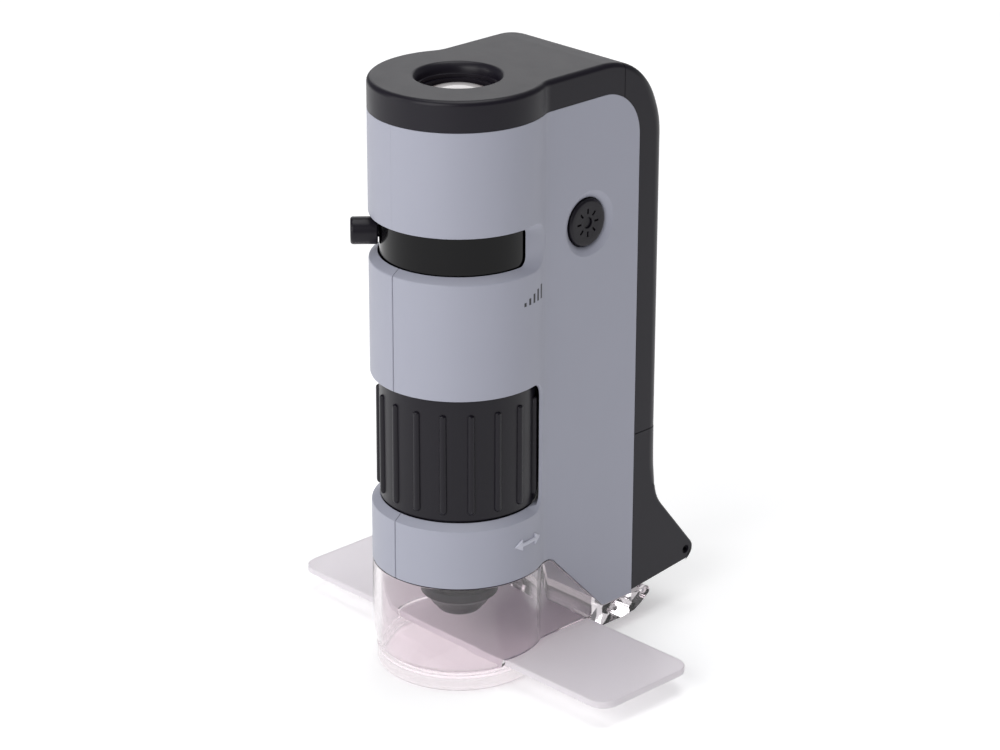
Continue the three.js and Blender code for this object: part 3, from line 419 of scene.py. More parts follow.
GREY = moulded("satin grey plastic", linear(153, 155, 168), linear(158, 159, 173), 0.42)
BLACK = moulded("satin black plastic", linear(27, 25, 31), linear(31, 28, 37), 0.36, unevenness=0.08, Specular_IOR_Level=0.26)
CONTROL = moulded("black control plastic", linear(26, 24, 30), linear(30, 27, 35), 0.33, unevenness=0.08, Specular_IOR_Level=0.26)
INNER = moulded("flat black inside", linear(26, 25, 27), linear(32, 31, 33), 0.62)
GLOSS = glossy("glossy black", linear(8, 7, 11), 0.12, Specular_IOR_Level=0.22)
CLEAR = glossy("clear polished plastic", linear(237, 231, 234), 0.02, Transmission_Weight=1.0, IOR=1.49)
LENS = glossy("coated lens", linear(252, 250, 252), 0.01, smears=0.02, Transmission_Weight=1.0, IOR=1.52)
MILKY = moulded(
    "milky slide plastic", linear(247, 241, 246), linear(250, 245, 249), 0.34, grain=0.0003, depth=0.000002,
    Transmission_Weight=0.36, IOR=1.5,
)
STEEL = moulded(
    "plated steel", linear(190, 192, 196), linear(176, 178, 184), 0.3, grain=0.0005, depth=0.000001, Metallic=1.0
)


def lets_lamps_through(made, tint):
    """Glass casts hardly any shadow: rays towards a lamp pass straight on, only tinted."""
    tree = made.node_tree
    clear = tree.nodes.new("ShaderNodeBsdfTransparent")
    clear.inputs["Color"].default_value = tint
    either = tree.nodes.new("ShaderNodeMixShader")
    tree.links.new(tree.nodes.new("ShaderNodeLightPath").outputs["Is Shadow Ray"], either.inputs["Fac"])
    tree.links.new(tree.nodes["Principled BSDF"].outputs["BSDF"], either.inputs[1])
    tree.links.new(clear.outputs["BSDF"], either.inputs[2])
    tree.links.new(either.outputs["Shader"], tree.nodes["Material Output"].inputs["Surface"])


lets_lamps_through(CLEAR, linear(240, 233, 237))


def painted_glow_eye_glass():
    """Painted light: the eye lens is painted bright in the middle, where light from below shines through it, and its
    outer ring is painted a shade darker and warmer as painted shade.
    """
    made, tree, inputs = shader(
        "eye glass with painted glow", linear(240, 234, 235), 0.03, Transmission_Weight=0.25, IOR=1.52, Coat_Weight=0.5
    )
    place = tree.nodes.new("ShaderNodeTexCoord").outputs["Object"]
    flat = tree.nodes.new("ShaderNodeVectorMath")
    flat.operation, flat.inputs[1].default_value = "MULTIPLY", (1.0, 1.0, 0.0)
    tree.links.new(place, flat.inputs[0])
    distance = tree.nodes.new("ShaderNodeVectorMath")
    distance.operation = "LENGTH"
    tree.links.new(flat.outputs["Vector"], distance.inputs[0])
    # painted light: this mask paints the lens brighter in the middle, where light from below shines through, and
    # darker and warmer in its outer ring as painted shade
    painted_glow_zone = tree.nodes.new("ShaderNodeMapRange")
    painted_glow_zone.inputs["From Min"].default_value, painted_glow_zone.inputs["From Max"].default_value = 0.0036, 0.0041
    tree.links.new(distance.outputs["Value"], painted_glow_zone.inputs["Value"])
    colour = mixed(tree, painted_glow_zone.outputs["Result"], linear(246, 241, 241), linear(205, 190, 190))
    tree.links.new(colour, inputs["Base Color"])
    return made


PAINTED_GLOW_EYE_GLASS = painted_glow_eye_glass()
print("materials:", ", ".join(m.name for m in bpy.data.materials if m.users or m.use_nodes))

# %% [markdown]
# Seen from above, the grey body is a round barrel that runs with hollow fillets into a block with flat sides.
# Half of that line is drawn and mirrored, which keeps both shells true to each other. The same line, moved
# inwards, makes the cavity.

# %% Outlines of the body
NECK_R = 4.0
BARREL_BOTTOM = 18.85
LEG_Y = BLOCK_BACK - 6.8
PEAK_Y = LEG_Y - 12.3
PEAK_R = 2.5
CORNER_R = 8.0
WALL = 1.4
SLOPE = atan2(BARREL_BOTTOM - LEG_BOTTOM, LEG_Y - PEAK_Y)
SPINE = BACK - BLOCK_BACK


def keyhole(inset, back, steps=60):
    r, half, neck = BARREL_R - inset, HALF - inset, NECK_R + inset
    neck_x = half + neck
    neck_y = sqrt((r + neck) ** 2 - neck_x**2)
    round_to = degrees(atan2(neck_y, neck_x))
    bm, tip = pen(0, -r)
    tip = turn(bm, tip, 0, 0, 90 + round_to, steps)
    tip = turn(bm, tip, neck_x, neck_y, -round_to, 8)
    go(bm, tip, (half, back), (0, back))
    return both_sides(bm)


def under_line(bm, tip, lift, back):
    """The shell's underside seen from the side: a rounded peak, the slope, and the level foot of the leg."""
    shift = lift * tan(SLOPE / 2)
    y, z = PEAK_Y - PEAK_R * tan(SLOPE / 2), BARREL_BOTTOM - PEAK_R
    tip = go(bm, tip, (y, z + PEAK_R + lift))
    tip = turn(bm, tip, y, z, -degrees(SLOPE), 8)
    return go(bm, tip, (LEG_Y + shift, LEG_BOTTOM + lift), (back, LEG_BOTTOM + lift))


def grey_side(grow):
    bm, tip = pen(-40, BARREL_BOTTOM - grow)
    tip = under_line(bm, tip, -grow, BLOCK_BACK + grow)
    y, z = BLOCK_BACK - CORNER_R, CAP_BOTTOM - CORNER_R
    tip = go(bm, tip, (y + CORNER_R + grow, z))
    tip = turn(bm, tip, y, z, 90, 18)
    tip = go(bm, tip, (-40, CAP_BOTTOM + grow))
    return close(bm, tip)


# %% [markdown]
# The zoom slot and the focus window are cut round the barrel, and their lower lips and ends flare outwards as
# a thumb needs it. Each cutter is drawn flat, as rounded rectangles at several depths that are bridged. It is
# then sliced every two degrees and rolled round the barrel, which no straight extrusion could do.

# %% Cutters that wrap round the barrel
def rounded_bar(half_width, low, high, corner):
    bm, tip = pen(0, low)
    tip = go(bm, tip, (half_width - corner, low))
    tip = turn(bm, tip, half_width - corner, low + corner, 90)
    tip = go(bm, tip, (half_width, high - corner))
    tip = turn(bm, tip, half_width - corner, high - corner, 90)
    go(bm, tip, (0, high))
    return both_sides(bm)


def wrapped(bm, slice_degrees=2.0):
    """Rolls a flat solid round the barrel: x becomes distance round it, y height and z radius."""
    widest = max(v.co.x for v in bm.verts)
    step = radians(slice_degrees) * BARREL_R
    count = int(widest / step)
    for i in range(-count, count + 1):
        everything = bm.verts[:] + bm.edges[:] + bm.faces[:]
        bmesh.ops.bisect_plane(bm, geom=everything, dist=1e-5, plane_co=(i * step, 0, 0), plane_no=(1, 0, 0))
    for v in bm.verts:
        angle, height, r = v.co.x / BARREL_R, v.co.y, v.co.z
        v.co = (r * sin(angle), -r * cos(angle), height)
    return outward(bm)


def wrapped_cutter(rings):
    """rings: radius, lowest, highest, degrees to each side, corner radius."""
    return wrapped(loft([
        (rounded_bar(radians(side) * BARREL_R, low, high, corner), r) for r, low, high, side, corner in rings
    ]))


FOCUS_LOW, FOCUS_HIGH = 29.8, 51.1
SLOT_LOW, SLOT_HIGH = 71.4, 78.0
LIP = 0.2
OUT = BARREL_R


def slot_cutter():
    return wrapped_cutter([
        (OUT - 3, SLOT_LOW, SLOT_HIGH, 101, 1.5),
        (OUT - 1.4, SLOT_LOW, SLOT_HIGH, 101, 1.5),
        (OUT - LIP, SLOT_LOW - 0.85, SLOT_HIGH, 116, 3.1),
        (OUT - LIP / 3, SLOT_LOW - 0.97, SLOT_HIGH + 0.07, 118, 3.3),
        (OUT, SLOT_LOW - 1.2, SLOT_HIGH + 0.25, 119, 3.5),
        (OUT + 3, SLOT_LOW - 1.2, SLOT_HIGH + 0.25, 119, 3.5),
    ])


def window_cutter():
    return wrapped_cutter([
        (OUT - 3, FOCUS_LOW, FOCUS_HIGH, 113, 2.2),
        (OUT - 1.3, FOCUS_LOW, FOCUS_HIGH, 113, 2.2),
        (OUT - LIP, FOCUS_LOW - 0.9, FOCUS_HIGH, 115.5, 2.9),
        (OUT - LIP / 3, FOCUS_LOW - 1.0, FOCUS_HIGH + 0.07, 116.3, 3.0),
        (OUT, FOCUS_LOW - 1.2, FOCUS_HIGH + 0.25, 117, 3.1),
        (OUT + 3, FOCUS_LOW - 1.2, FOCUS_HIGH + 0.25, 117, 3.1),
    ])


# %% [markdown]
# The two grey halves are one solid until the parting cut. The plan outline and the side view meet, the inside
# is taken out, and the openings follow. Below the slot the halves meet with a fine chamfered gap; above it
# they close up tight.

# %% Grey shells
BUTTON_Y, BUTTON_Z, BUTTON_R = 16.95, 74.6, 3.95
SCREWS = ((23.5, 13.0), (20.0, 28.0), (17.2, 92.0))


def shell_solid():
    plan = upright(keyhole(0, BLOCK_BACK), 0, CAP_BOTTOM + 2)
    body = common(plan, across(grey_side(0), -FAR, FAR))
    bm, tip = pen(-40, BARREL_BOTTOM + WALL)
    tip = under_line(bm, tip, WALL, BLOCK_BACK + 3)
    tip = go(bm, tip, (BLOCK_BACK + 3, CAP_BOTTOM + 3), (-40, CAP_BOTTOM + 3))
    inside = common(upright(keyhole(WALL, BLOCK_BACK + 3), 0, CAP_BOTTOM + 3), across(close(bm, tip), -FAR, FAR))
    rib_room = turn_cylinder(RIB_R + 0.3, FOCUS_LOW, FOCUS_HIGH, 120)
    nose_hole = turn_cylinder(6.65, 0, BARREL_BOTTOM + 4, 64)
    body = carve(body, inside, rib_room, window_cutter(), slot_cutter(), nose_hole)
    split_level = SLOT_LOW + 2
    gap = block(-0.06, 0.06, -FAR, FAR, 0, split_level)
    tight = block(-0.008, 0.008, -FAR, FAR, split_level - 1, FAR)
    groove = block(-0.2, 0.2, -0.2, 0.2, 0, SLOT_LOW)
    bmesh.ops.rotate(groove, verts=groove.verts[:], cent=(0, 0, 0), matrix=Matrix.Rotation(pi / 4, 3, "Z"))
    bmesh.ops.translate(groove, verts=groove.verts[:], vec=(0, -BARREL_R - 0.12, 0))
    return carve(body, gap, tight, groove)


def half_of(bm, side):
    kept = bm.copy()
    other = [v for v in kept.verts if v.co.x * side < 0]
    bmesh.ops.delete(kept, geom=other, context="VERTS")
    return kept


whole_shell = shell_solid()
right_shell, left_shell = half_of(whole_shell, 1), half_of(whole_shell, -1)
whole_shell.free()

dish, tip = pen(0, HALF - 2)
tip = go(dish, tip, (BUTTON_R + 0.18, HALF - 2), (BUTTON_R + 0.18, HALF - 0.9), (BUTTON_R + 0.32, HALF - 0.72))
tip = go(dish, tip, (BUTTON_R + 1.15, HALF - 0.13), (BUTTON_R + 1.5, HALF), (BUTTON_R + 1.7, HALF + 1))
go(dish, tip, (0, HALF + 1))
dish = turned(dish, 96)
bmesh.ops.rotate(dish, verts=dish.verts[:], cent=(0, 0, 0), matrix=Matrix.Rotation(pi / 2, 3, "Y"))
bmesh.ops.translate(dish, verts=dish.verts[:], vec=(0, BUTTON_Y, BUTTON_Z))
right_shell = carve(right_shell, dish)

for y, z in SCREWS:
    left_shell = carve(left_shell, cross_bar(2.1, -HALF - 1, 1.3 - HALF, y, z), cross_bar(1.2, -HALF, -HALF + 3, y, z))
finish("right_shell_skin", right_shell, GREY, "body", ["right_shell"])
finish("left_shell_skin", left_shell, GREY, "body", ["left_shell"])

# %% [markdown]
# The black top cap, the door and the back belong to one outer form with a rounded rim. The rim is slim round
# the eyepiece and grows to the full thumb radius down the spine. A Bevel modifier reads that growth from edge
# weights, so the rounding is made once on the whole form, and the pieces are parted from it afterwards.

# %% Black outer form
SPINE_R = 2.5
RIM_R = 0.85


def rim_share(z):
    """How far the rounding has grown from the rim's radius to the spine's, at a height on the curved corner."""
    low, high = HEIGHT - 9.0, HEIGHT - 0.5
    t = min(max((high - z) / (high - low), 0.0), 1.0)
    return RIM_R / SPINE_R + (1 - RIM_R / SPINE_R) * t


def weighted_rounding(bm, share_at, width, segments):
    layer = bm.edges.layers.float.new("bevel_weight_edge")
    for e in bm.edges:
        if len(e.link_faces) == 2 and e.calc_face_angle() > radians(50):
            e[layer] = share_at((e.verts[0].co + e.verts[1].co) / 2)
    made = as_object("form", bm)
    soft = made.modifiers.new("rim", "BEVEL")
    soft.limit_method, soft.width, soft.segments, soft.use_clamp_overlap = "WEIGHT", width, segments, False
    return evaluated(made)


def cover_side(inset):
    r = CORNER_R + SPINE - inset
    y, z = BACK - CORNER_R - SPINE, HEIGHT - CORNER_R - SPINE
    bm, tip = pen(-40, 20)
    tip = go(bm, tip, (BACK - inset, 20), (BACK - inset, z))
    tip = turn(bm, tip, y, z, 90, 24)
    tip = go(bm, tip, (-40, HEIGHT - inset))
    return close(bm, tip)


def cover_form():
    form = common(upright(keyhole(0, BACK + 5), 22, HEIGHT + 5), across(cover_side(0), -FAR, FAR))
    form = weighted_rounding(form, lambda p: rim_share(p.z) if p.z > 24 else 0.0, SPINE_R, 6)
    return carve(form, across(grey_side(0.05), -FAR, FAR))


CAP_SEAM_Y = 24.55
EYE_R = 7.0
form = cover_form()
front = block(-FAR, FAR, -FAR, CAP_SEAM_Y - 0.06, 50, FAR)
rear = block(-FAR, FAR, CAP_SEAM_Y + 0.06, FAR, DOOR_BOTTOM, FAR)
cap, door = common(form.copy(), front), common(form, rear)
print("cap and door faces:", len(cap.faces), len(door.faces))

# %% [markdown]
# The eye looks down a stepped well: a soft chamfer at the mouth, a short wall, then rings that end at the lens.
# It is one turned cutter. The cap is hollow behind, where it clips over the shells.

# %% Top cap
well, tip = pen(0, 60)
tip = go(well, tip, (5.7, 60), (5.7, HEIGHT - 2.4), (6.15, HEIGHT - 2.4), (6.15, HEIGHT - 1.75))
tip = go(well, tip, (6.4, HEIGHT - 1.65), (6.45, HEIGHT - 0.95), (6.62, HEIGHT - 0.62), (EYE_R - 0.08, HEIGHT - 0.24))
tip = go(well, tip, (EYE_R + 0.12, HEIGHT - 0.06), (EYE_R + 0.4, HEIGHT), (EYE_R + 0.6, HEIGHT + 2), (0, HEIGHT + 2))
roof = 1.8
hollow = carve(upright(keyhole(1.8, CAP_SEAM_Y - 1.6), 40, HEIGHT - roof), turn_cylinder(10.0, 30, FAR))
seat = turn_cylinder(8.8, 40, CAP_BOTTOM + 1.5, 64)
cap = carve(cap, hollow, seat, turned(well, 128))
finish("top_cap_skin", cap, BLACK, "body", ["top_cap"])

# %% [markdown]
# The door hinges on its lower rear edge, so its inside shows when it is open: a plain shell with one wall
# thickness and a softly rounded inner back.

# %% Battery door
door_hollow, tip = pen(0, 0)
inner_half = HALF - 1.6
tip = go(door_hollow, tip, (inner_half, 0), (inner_half, BACK - 3.1))
tip = turn(door_hollow, tip, inner_half - 1.5, BACK - 3.1, 90, 6)
go(door_hollow, tip, (0, BACK - 1.6))
door_hollow = both_sides(door_hollow)
door_hollow = common(upright(door_hollow, 0, FAR), across(cover_side(1.6), -FAR, FAR))
door = carve(door, door_hollow)
finish("battery_door_skin", door, BLACK, "door", ["battery_door"])

# %% [markdown]
# The stand carries on the black back and ends in a thumb-shaped tail with a hole for a wrist cord. Its side
# line is drawn once: the same line, moved in by the wall, opens the hollow. The upright edges are as round as
# the door's, and fade to a fine edge where the tail leaves the back.

# %% Rear stand
HINGE_Y, HINGE_Z = BLOCK_BACK + 3.5, LEG_BOTTOM - 0.9
TAIL_Y, TAIL_Z, TAIL_R, TAIL_FALL = BACK + 7.15, 9.9, 1.9, 51.0
EAR_X, KNUCKLE_R = 7.2, 0.95


def stand_side(inset, front=0.0, top=0.0):
    r, back, bend = TAIL_R - inset, BACK - inset, 6.0 + inset
    steep = radians(90 - TAIL_FALL)
    touch_y, touch_z = TAIL_Y + r * cos(steep), TAIL_Z + r * sin(steep)
    bend_z = touch_z + (touch_y - back) * tan(radians(TAIL_FALL)) + bend * tan(steep / 2)
    high = DOOR_BOTTOM - 0.15 + top
    bm, tip = pen(BLOCK_BACK + 0.07 - front, LEG_BOTTOM + 0.35 + inset)
    tip = go(bm, tip, (TAIL_Y + r * cos(radians(84)), TAIL_Z - r * sin(radians(84))))
    tip = turn(bm, tip, TAIL_Y, TAIL_Z, 84 + 90 - TAIL_FALL, 20)
    tip = go(bm, tip, (back + bend - bend * cos(steep), bend_z - bend * sin(steep)))
    tip = turn(bm, tip, back + bend, bend_z, -(90 - TAIL_FALL), 12)
    tip = go(bm, tip, *[(back, bend_z + (high - bend_z) * i / 8) for i in range(1, 9)])
    tip = go(bm, tip, (BLOCK_BACK + 0.07 - front, high))
    return close(bm, tip)


def stand_share(p):
    """Only the outer rims of the back and the tail are rounded; cuts and joints keep their crisp edges."""
    on_rim = abs(abs(p.x) - HALF) < 0.01 and p.y > BLOCK_BACK + 1 and p.z < DOOR_BOTTOM - 0.3
    in_hole = (p.y - TAIL_Y) ** 2 + (p.z - TAIL_Z) ** 2 < 1 or (p.y - HINGE_Y) ** 2 + (p.z - HINGE_Z) ** 2 < 0.6
    if not on_rim or in_hole:
        return 0.0
    t = min(max((p.z - 20.0) / 9.0, 0.0), 1.0)
    return (0.2 + 0.8 * t) if p.z > LEG_BOTTOM + 2.3 else 0.14


inner = HALF - 1.4
stand = carve(
    across(stand_side(0), -HALF, HALF), across(stand_side(1.4, 5, 5), -inner, inner),
    block(-inner, inner, TAIL_Y - 3.6, FAR, 0, TAIL_Z + 4.2),
)
for side in (-1, 1):
    ear, tip = pen(HINGE_Y - KNUCKLE_R, HINGE_Z)
    tip = turn(ear, tip, HINGE_Y, HINGE_Z, 180, 24)
    tip = go(ear, tip, (HINGE_Y + KNUCKLE_R, LEG_BOTTOM + 1.2), (HINGE_Y - KNUCKLE_R, LEG_BOTTOM + 1.2))
    stand = join(stand, across(close(ear, tip), side * EAR_X - 1, side * EAR_X + 1))
stand = carve(
    stand, cross_bar(0.75, -FAR, FAR, TAIL_Y, TAIL_Z), cross_bar(0.58, -FAR, FAR, HINGE_Y, HINGE_Z, 24)
)
stand = weighted_rounding(stand, stand_share, SPINE_R, 6)
print(f"stand volume {stand.calc_volume() / 1000:.2f} cubic centimetres")
finish("rear_stand_skin", stand, BLACK, "body", ["rear_stand"])

# %% [markdown]
# The zoom ring shows as a polished black band inside its slot, with a stubby lever for the thumb. The band is
# turned. The lever is a short rod with a rounded rim and a collar where it leaves the band.

# %% Zoom band and lever
ZOOM_Z, LEVER_ANGLE = 74.7, radians(-42)
band_low, band_high = reach("zoom_band", 0, "z"), reach("zoom_band", 1, "z")
band, tip = pen(RING_R - 1.35, band_low)
tip = go(band, tip, (RING_R - 0.3, band_low), (RING_R, band_low + 0.3), (RING_R, band_high - 0.3))
tip = go(band, tip, (RING_R - 0.3, band_high), (RING_R - 1.35, band_high))
band = turned(close(band, tip), 160)
socket_hole = cross_bar(1.15, 8, 20, 0, ZOOM_Z, 32)
bmesh.ops.rotate(socket_hole, verts=socket_hole.verts[:], cent=(0, 0, 0), matrix=Matrix.Rotation(LEVER_ANGLE - pi / 2, 3, "Z"))
band = carve(band, socket_hole)
finish("zoom_band_skin", band, GLOSS, "zoom_ring", ["zoom_band"])

lever_low, lever_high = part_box("zoom_lever")
lever_tip = sqrt((lever_low.x / MM) ** 2 + (lever_low.y / MM) ** 2)
LEVER_R, tip_r = 2.2, BARREL_R + 2.8
lever, tip = pen(0, RING_R - 1.2)
tip = go(lever, tip, (1.05, RING_R - 1.2), (1.05, RING_R + 0.15), (2.05, RING_R + 0.15), (LEVER_R, RING_R + 0.35))
tip = go(lever, tip, (LEVER_R, tip_r - 0.45))
tip = turn(lever, tip, LEVER_R - 0.45, tip_r - 0.45, 90, 6)
tip = go(lever, tip, (1.15, tip_r), (1.0, tip_r - 0.12), (0, tip_r - 0.12))
lever = turned(lever, 64)
bmesh.ops.rotate(lever, verts=lever.verts[:], cent=(0, 0, 0), matrix=Matrix.Rotation(pi / 2, 3, "X"))
bmesh.ops.rotate(lever, verts=lever.verts[:], cent=(0, 0, 0), matrix=Matrix.Rotation(LEVER_ANGLE, 3, "Z"))
bmesh.ops.translate(lever, verts=lever.verts[:], vec=(0, 0, ZOOM_Z))
finish("zoom_lever_skin", lever, CONTROL, "zoom_ring", ["zoom_lever"])

# %% [markdown]
# The focus wheel is a drum with eighteen raised grips. One grip is a half-round capsule: a slender bar whose
# long edges and ends are bevelled round. It is set on the drum, and the spin operator repeats it as copies.

# %% Focus wheel
DRUM_R, GRIPS, GRIP_Z, GRIP_LENGTH, GRIP_WIDTH, GRIP_HEIGHT = BARREL_R - 1.35, 18, 39.75, 17.2, 1.25, 0.55
wheel_low, wheel_high = FOCUS_LOW + 0.15, FOCUS_HIGH - 0.15
flange_low, flange_high = reach("focus_wheel", 0, "z"), reach("focus_wheel", 1, "z")
drum, tip = pen(DRUM_R - 2.2, flange_low)
tip = go(drum, tip, (12.5, flange_low), (12.5, wheel_low), (DRUM_R - 0.25, wheel_low), (DRUM_R, wheel_low + 0.25))
tip = go(drum, tip, (DRUM_R, wheel_high - 0.25), (DRUM_R - 0.25, wheel_high), (12.5, wheel_high), (12.5, flange_high))
tip = go(drum, tip, (DRUM_R - 2.2, flange_high))
drum = turned(close(drum, tip), 180)

grip = bmesh.new()
bmesh.ops.create_uvsphere(grip, u_segments=16, v_segments=8, radius=1)
bmesh.ops.scale(grip, verts=grip.verts[:], vec=(GRIP_WIDTH / 2, GRIP_HEIGHT, GRIP_WIDTH / 2))
straight = GRIP_LENGTH / 2 - GRIP_WIDTH / 2
for v in grip.verts:
    v.co.z += straight if v.co.z > 0 else -straight
middle_ring = [v for v in grip.verts if abs(abs(v.co.z) - straight) < 1e-4]
print("points on the grip's waist:", len(middle_ring))
bmesh.ops.translate(grip, verts=grip.verts[:], vec=(0, -DRUM_R + 0.02, GRIP_Z))
bmesh.ops.rotate(grip, verts=grip.verts[:], cent=(0, 0, 0), matrix=Matrix.Rotation(radians(15.1), 3, "Z"))
bmesh.ops.spin(
    grip, geom=grip.verts[:] + grip.edges[:] + grip.faces[:], cent=(0, 0, 0), axis=(0, 0, 1),
    angle=radians(360 - 360 / GRIPS), steps=GRIPS - 1, use_duplicate=True, use_merge=False,
)
wheel = join(drum, outward(grip))
finish("focus_wheel_skin", wheel, CONTROL, "focus_ring", ["focus_wheel"])

# %% [markdown]
# The lamp button is a shallow black disc in its dish. In place of any word it carries a small sunk lamp
# sign: a round dot with eight short rays, the usual sign for a light.

# %% Lamp button
face = HALF - 0.3
cap_disc, tip = pen(0, face - 2.1)
tip = go(cap_disc, tip, (4.7, face - 2.1), (4.7, face - 1.4), (BUTTON_R, face - 1.4), (BUTTON_R, face - 0.5))
tip = turn(cap_disc, tip, BUTTON_R - 0.5, face - 0.5, 90, 5)
tip = go(cap_disc, tip, (BUTTON_R - 1.4, face - 0.06), (0, face - 0.1))
button = turned(cap_disc, 96)
sign = turn_cylinder(0.95, face - 0.38, face + 1, 40)
ray = block(-0.17, 0.17, 1.45, 2.35, face - 0.38, face + 1)
bmesh.ops.spin(
    ray, geom=ray.verts[:] + ray.edges[:] + ray.faces[:], cent=(0, 0, 0), axis=(0, 0, 1), angle=radians(315),
    steps=7, use_duplicate=True, use_merge=False,
)
button = carve(button, sign, outward(ray))
bmesh.ops.rotate(button, verts=button.verts[:], cent=(0, 0, 0), matrix=Matrix.Rotation(pi / 2, 3, "Y"))
bmesh.ops.translate(button, verts=button.verts[:], vec=(0, BUTTON_Y, BUTTON_Z))
finish("led_button_skin", button, CONTROL, "button", ["led_button"])

# %% [markdown]
# The thick eye lens rises through a glossy retaining ring into the cap's hole. A lens is drawn as half of its
# section, two shallow arcs with a stepped or plain edge between them, and turned.

# %% Eyepiece
lens_low, lens_high = reach("ocular_lens", 0, "z"), reach("ocular_lens", 1, "z")
ring_low, ring_high = reach("ocular_ring", 0, "z"), reach("ocular_ring", 1, "z")


def lens(r, low, high, bulge_low, bulge_high, steps=12):
    bm, tip = pen(0, low)
    for bulge, place, way in ((bulge_low, low, 1), (bulge_high, high, -1)):
        curve = (r * r + bulge * bulge) / (2 * bulge)
        swing = degrees(atan2(r, curve - bulge))
        if way > 0:
            tip = turn(bm, tip, 0, low + curve, swing, steps)
        else:
            tip = go(bm, tip, (r, high - bulge))
            tip = turn(bm, tip, 0, high - curve, swing, steps)
    return turned(bm, 96)


DOME_R, DOME_EDGE, FLANGE = 5.35, lens_high - 1.15, 2.0
eye_lens, tip = pen(0, lens_low)
under = (6.38**2 + 0.9**2) / 1.8
tip = turn(eye_lens, tip, 0, lens_low + under, degrees(atan2(6.38, under - 0.9)), 12)
tip = go(eye_lens, tip, (6.38, lens_low + FLANGE - 0.15), (DOME_R, lens_low + FLANGE - 0.15), (DOME_R, DOME_EDGE))
over = (DOME_R**2 + 1.15**2) / 2.3
tip = turn(eye_lens, tip, 0, lens_high - over, degrees(atan2(DOME_R, over - 1.15)), 16)
finish("ocular_lens_skin", turned(eye_lens, 96), PAINTED_GLOW_EYE_GLASS, "body", ["ocular_lens"])
eye_ring, tip = pen(DOME_R + 0.1, ring_low + 0.05)
tip = go(eye_ring, tip, (6.36, ring_low + 0.05), (6.36, ring_high), (5.75, ring_high), (5.6, ring_high - 0.15))
tip = go(eye_ring, tip, (DOME_R + 0.1, ring_high - 0.35))
finish("ocular_ring_skin", turned(close(eye_ring, tip), 96), GLOSS, "body", ["ocular_ring"])

# %% [markdown]
# The objective hangs below the barrel: a black cone with a flat rim and stepped rings, whose front lens looks
# down at the slide. Its profile is turned in one go, open at the tip.

# %% Objective nose
DISC_Z, TIP_Z, TIP_R, DISC_R, SPIGOT_R = 12.5, 9.3, 3.7, 6.35, 4.55
front_low = reach("objective_lens", 0, "z")
nose, tip = pen(2.4, TIP_Z + 0.1)
tip = go(nose, tip, (TIP_R - 0.25, TIP_Z), (TIP_R, TIP_Z + 0.25), (TIP_R + 0.45, TIP_Z + 1.0), (TIP_R + 0.5, TIP_Z + 1.15))
tip = go(nose, tip, (TIP_R + 0.9, TIP_Z + 1.3), (TIP_R + 1.55, TIP_Z + 2.35), (DISC_R - 0.35, DISC_Z - 0.15))
tip = go(nose, tip, (DISC_R - 0.1, DISC_Z), (DISC_R, DISC_Z + 0.15), (DISC_R, DISC_Z + 1.5), (DISC_R - 0.2, DISC_Z + 1.7))
tip = go(nose, tip, (SPIGOT_R, DISC_Z + 1.7), (SPIGOT_R, DISC_Z + 6), (3.05, DISC_Z + 6), (3.05, front_low), (2.4, front_low))
nose = turned(close(nose, tip), 96)
finish("objective_nose_skin", nose, CONTROL, "objective", ["objective_nose"])
front_lens = lens(2.98, front_low, reach("objective_lens", 1, "z"), 0.4, 0.4, 6)
finish("objective_lens_skin", front_lens, LENS, "objective", ["objective_lens"])

# %% [markdown]
# Three pan-head screws hold the shells. Each has a cross recess, cut with two crossed blocks.

# %% Screws
def shell_screw(y, z):
    top = 0.0
    bm, tip = pen(0, -17.6)
    tip = go(bm, tip, (0.55, -17.6), (0.9, -16.9), (0.9, -1.0), (1.8, -1.0), (1.8, -0.45))
    tip = turn(bm, tip, 1.35, -0.45, 90, 5)
    tip = go(bm, tip, (0.9, 0.0), (0, 0.0))
    bm = turned(bm, 40)
    arms = (block(-1.05, 1.05, -0.19, 0.19, -0.6, 1), block(-0.19, 0.19, -1.05, 1.05, -0.6, 1))
    bm = carve(bm, *arms)
    bmesh.ops.rotate(bm, verts=bm.verts[:], cent=(0, 0, 0), matrix=Matrix.Rotation(radians(20 * y), 3, "Z"))
    bmesh.ops.rotate(bm, verts=bm.verts[:], cent=(0, 0, 0), matrix=Matrix.Rotation(-pi / 2, 3, "Y"))
    bmesh.ops.translate(bm, verts=bm.verts[:], vec=(reach("shell_screw_1", 0, "x"), y, z))
    return bm


for i, (y, z) in enumerate(SCREWS, start=1):
    finish(f"shell_screw_{i}_skin", shell_screw(y, z), STEEL, "body", [f"shell_screw_{i}"])

# %% [markdown]
# The clear base is the piece that catches the light. Its wall follows the body's outline and turns in at the
# foot, a fine notch runs round above the foot, and the foot's own edge is rounded. Clear plastic shows its
# thickness through every one of these edges, so the wall is a true wall with an inside.

# %% Clear base outlines
BASE_WALL, TURN_IN, TURN_HEIGHT, FOOT_Z, FOOT_IN, FLOOR = 1.3, 1.1, 5.0, 3.4, 0.55, 2.0
FOOT_BACK, WEDGE_Z = LEG_Y - 0.7, 2.4
slide_low, slide_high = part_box("specimen_slide")[0] / MM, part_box("specimen_slide")[1] / MM


def turned_in_wall(inset, low, high, back):
    """A wall that curves inwards towards its foot, lofted through outlines that shrink along a quarter ellipse."""
    rings, steps = [], 10
    for i in range(steps):
        t = i / steps
        shrink = TURN_IN * (1 - sqrt(1 - (1 - t) ** 2))
        rings.append((keyhole(inset + shrink, back, 48), low + TURN_HEIGHT * t))
    rings += [(keyhole(inset, back, 48), low + TURN_HEIGHT), (keyhole(inset, back, 48), high)]
    return loft(rings)


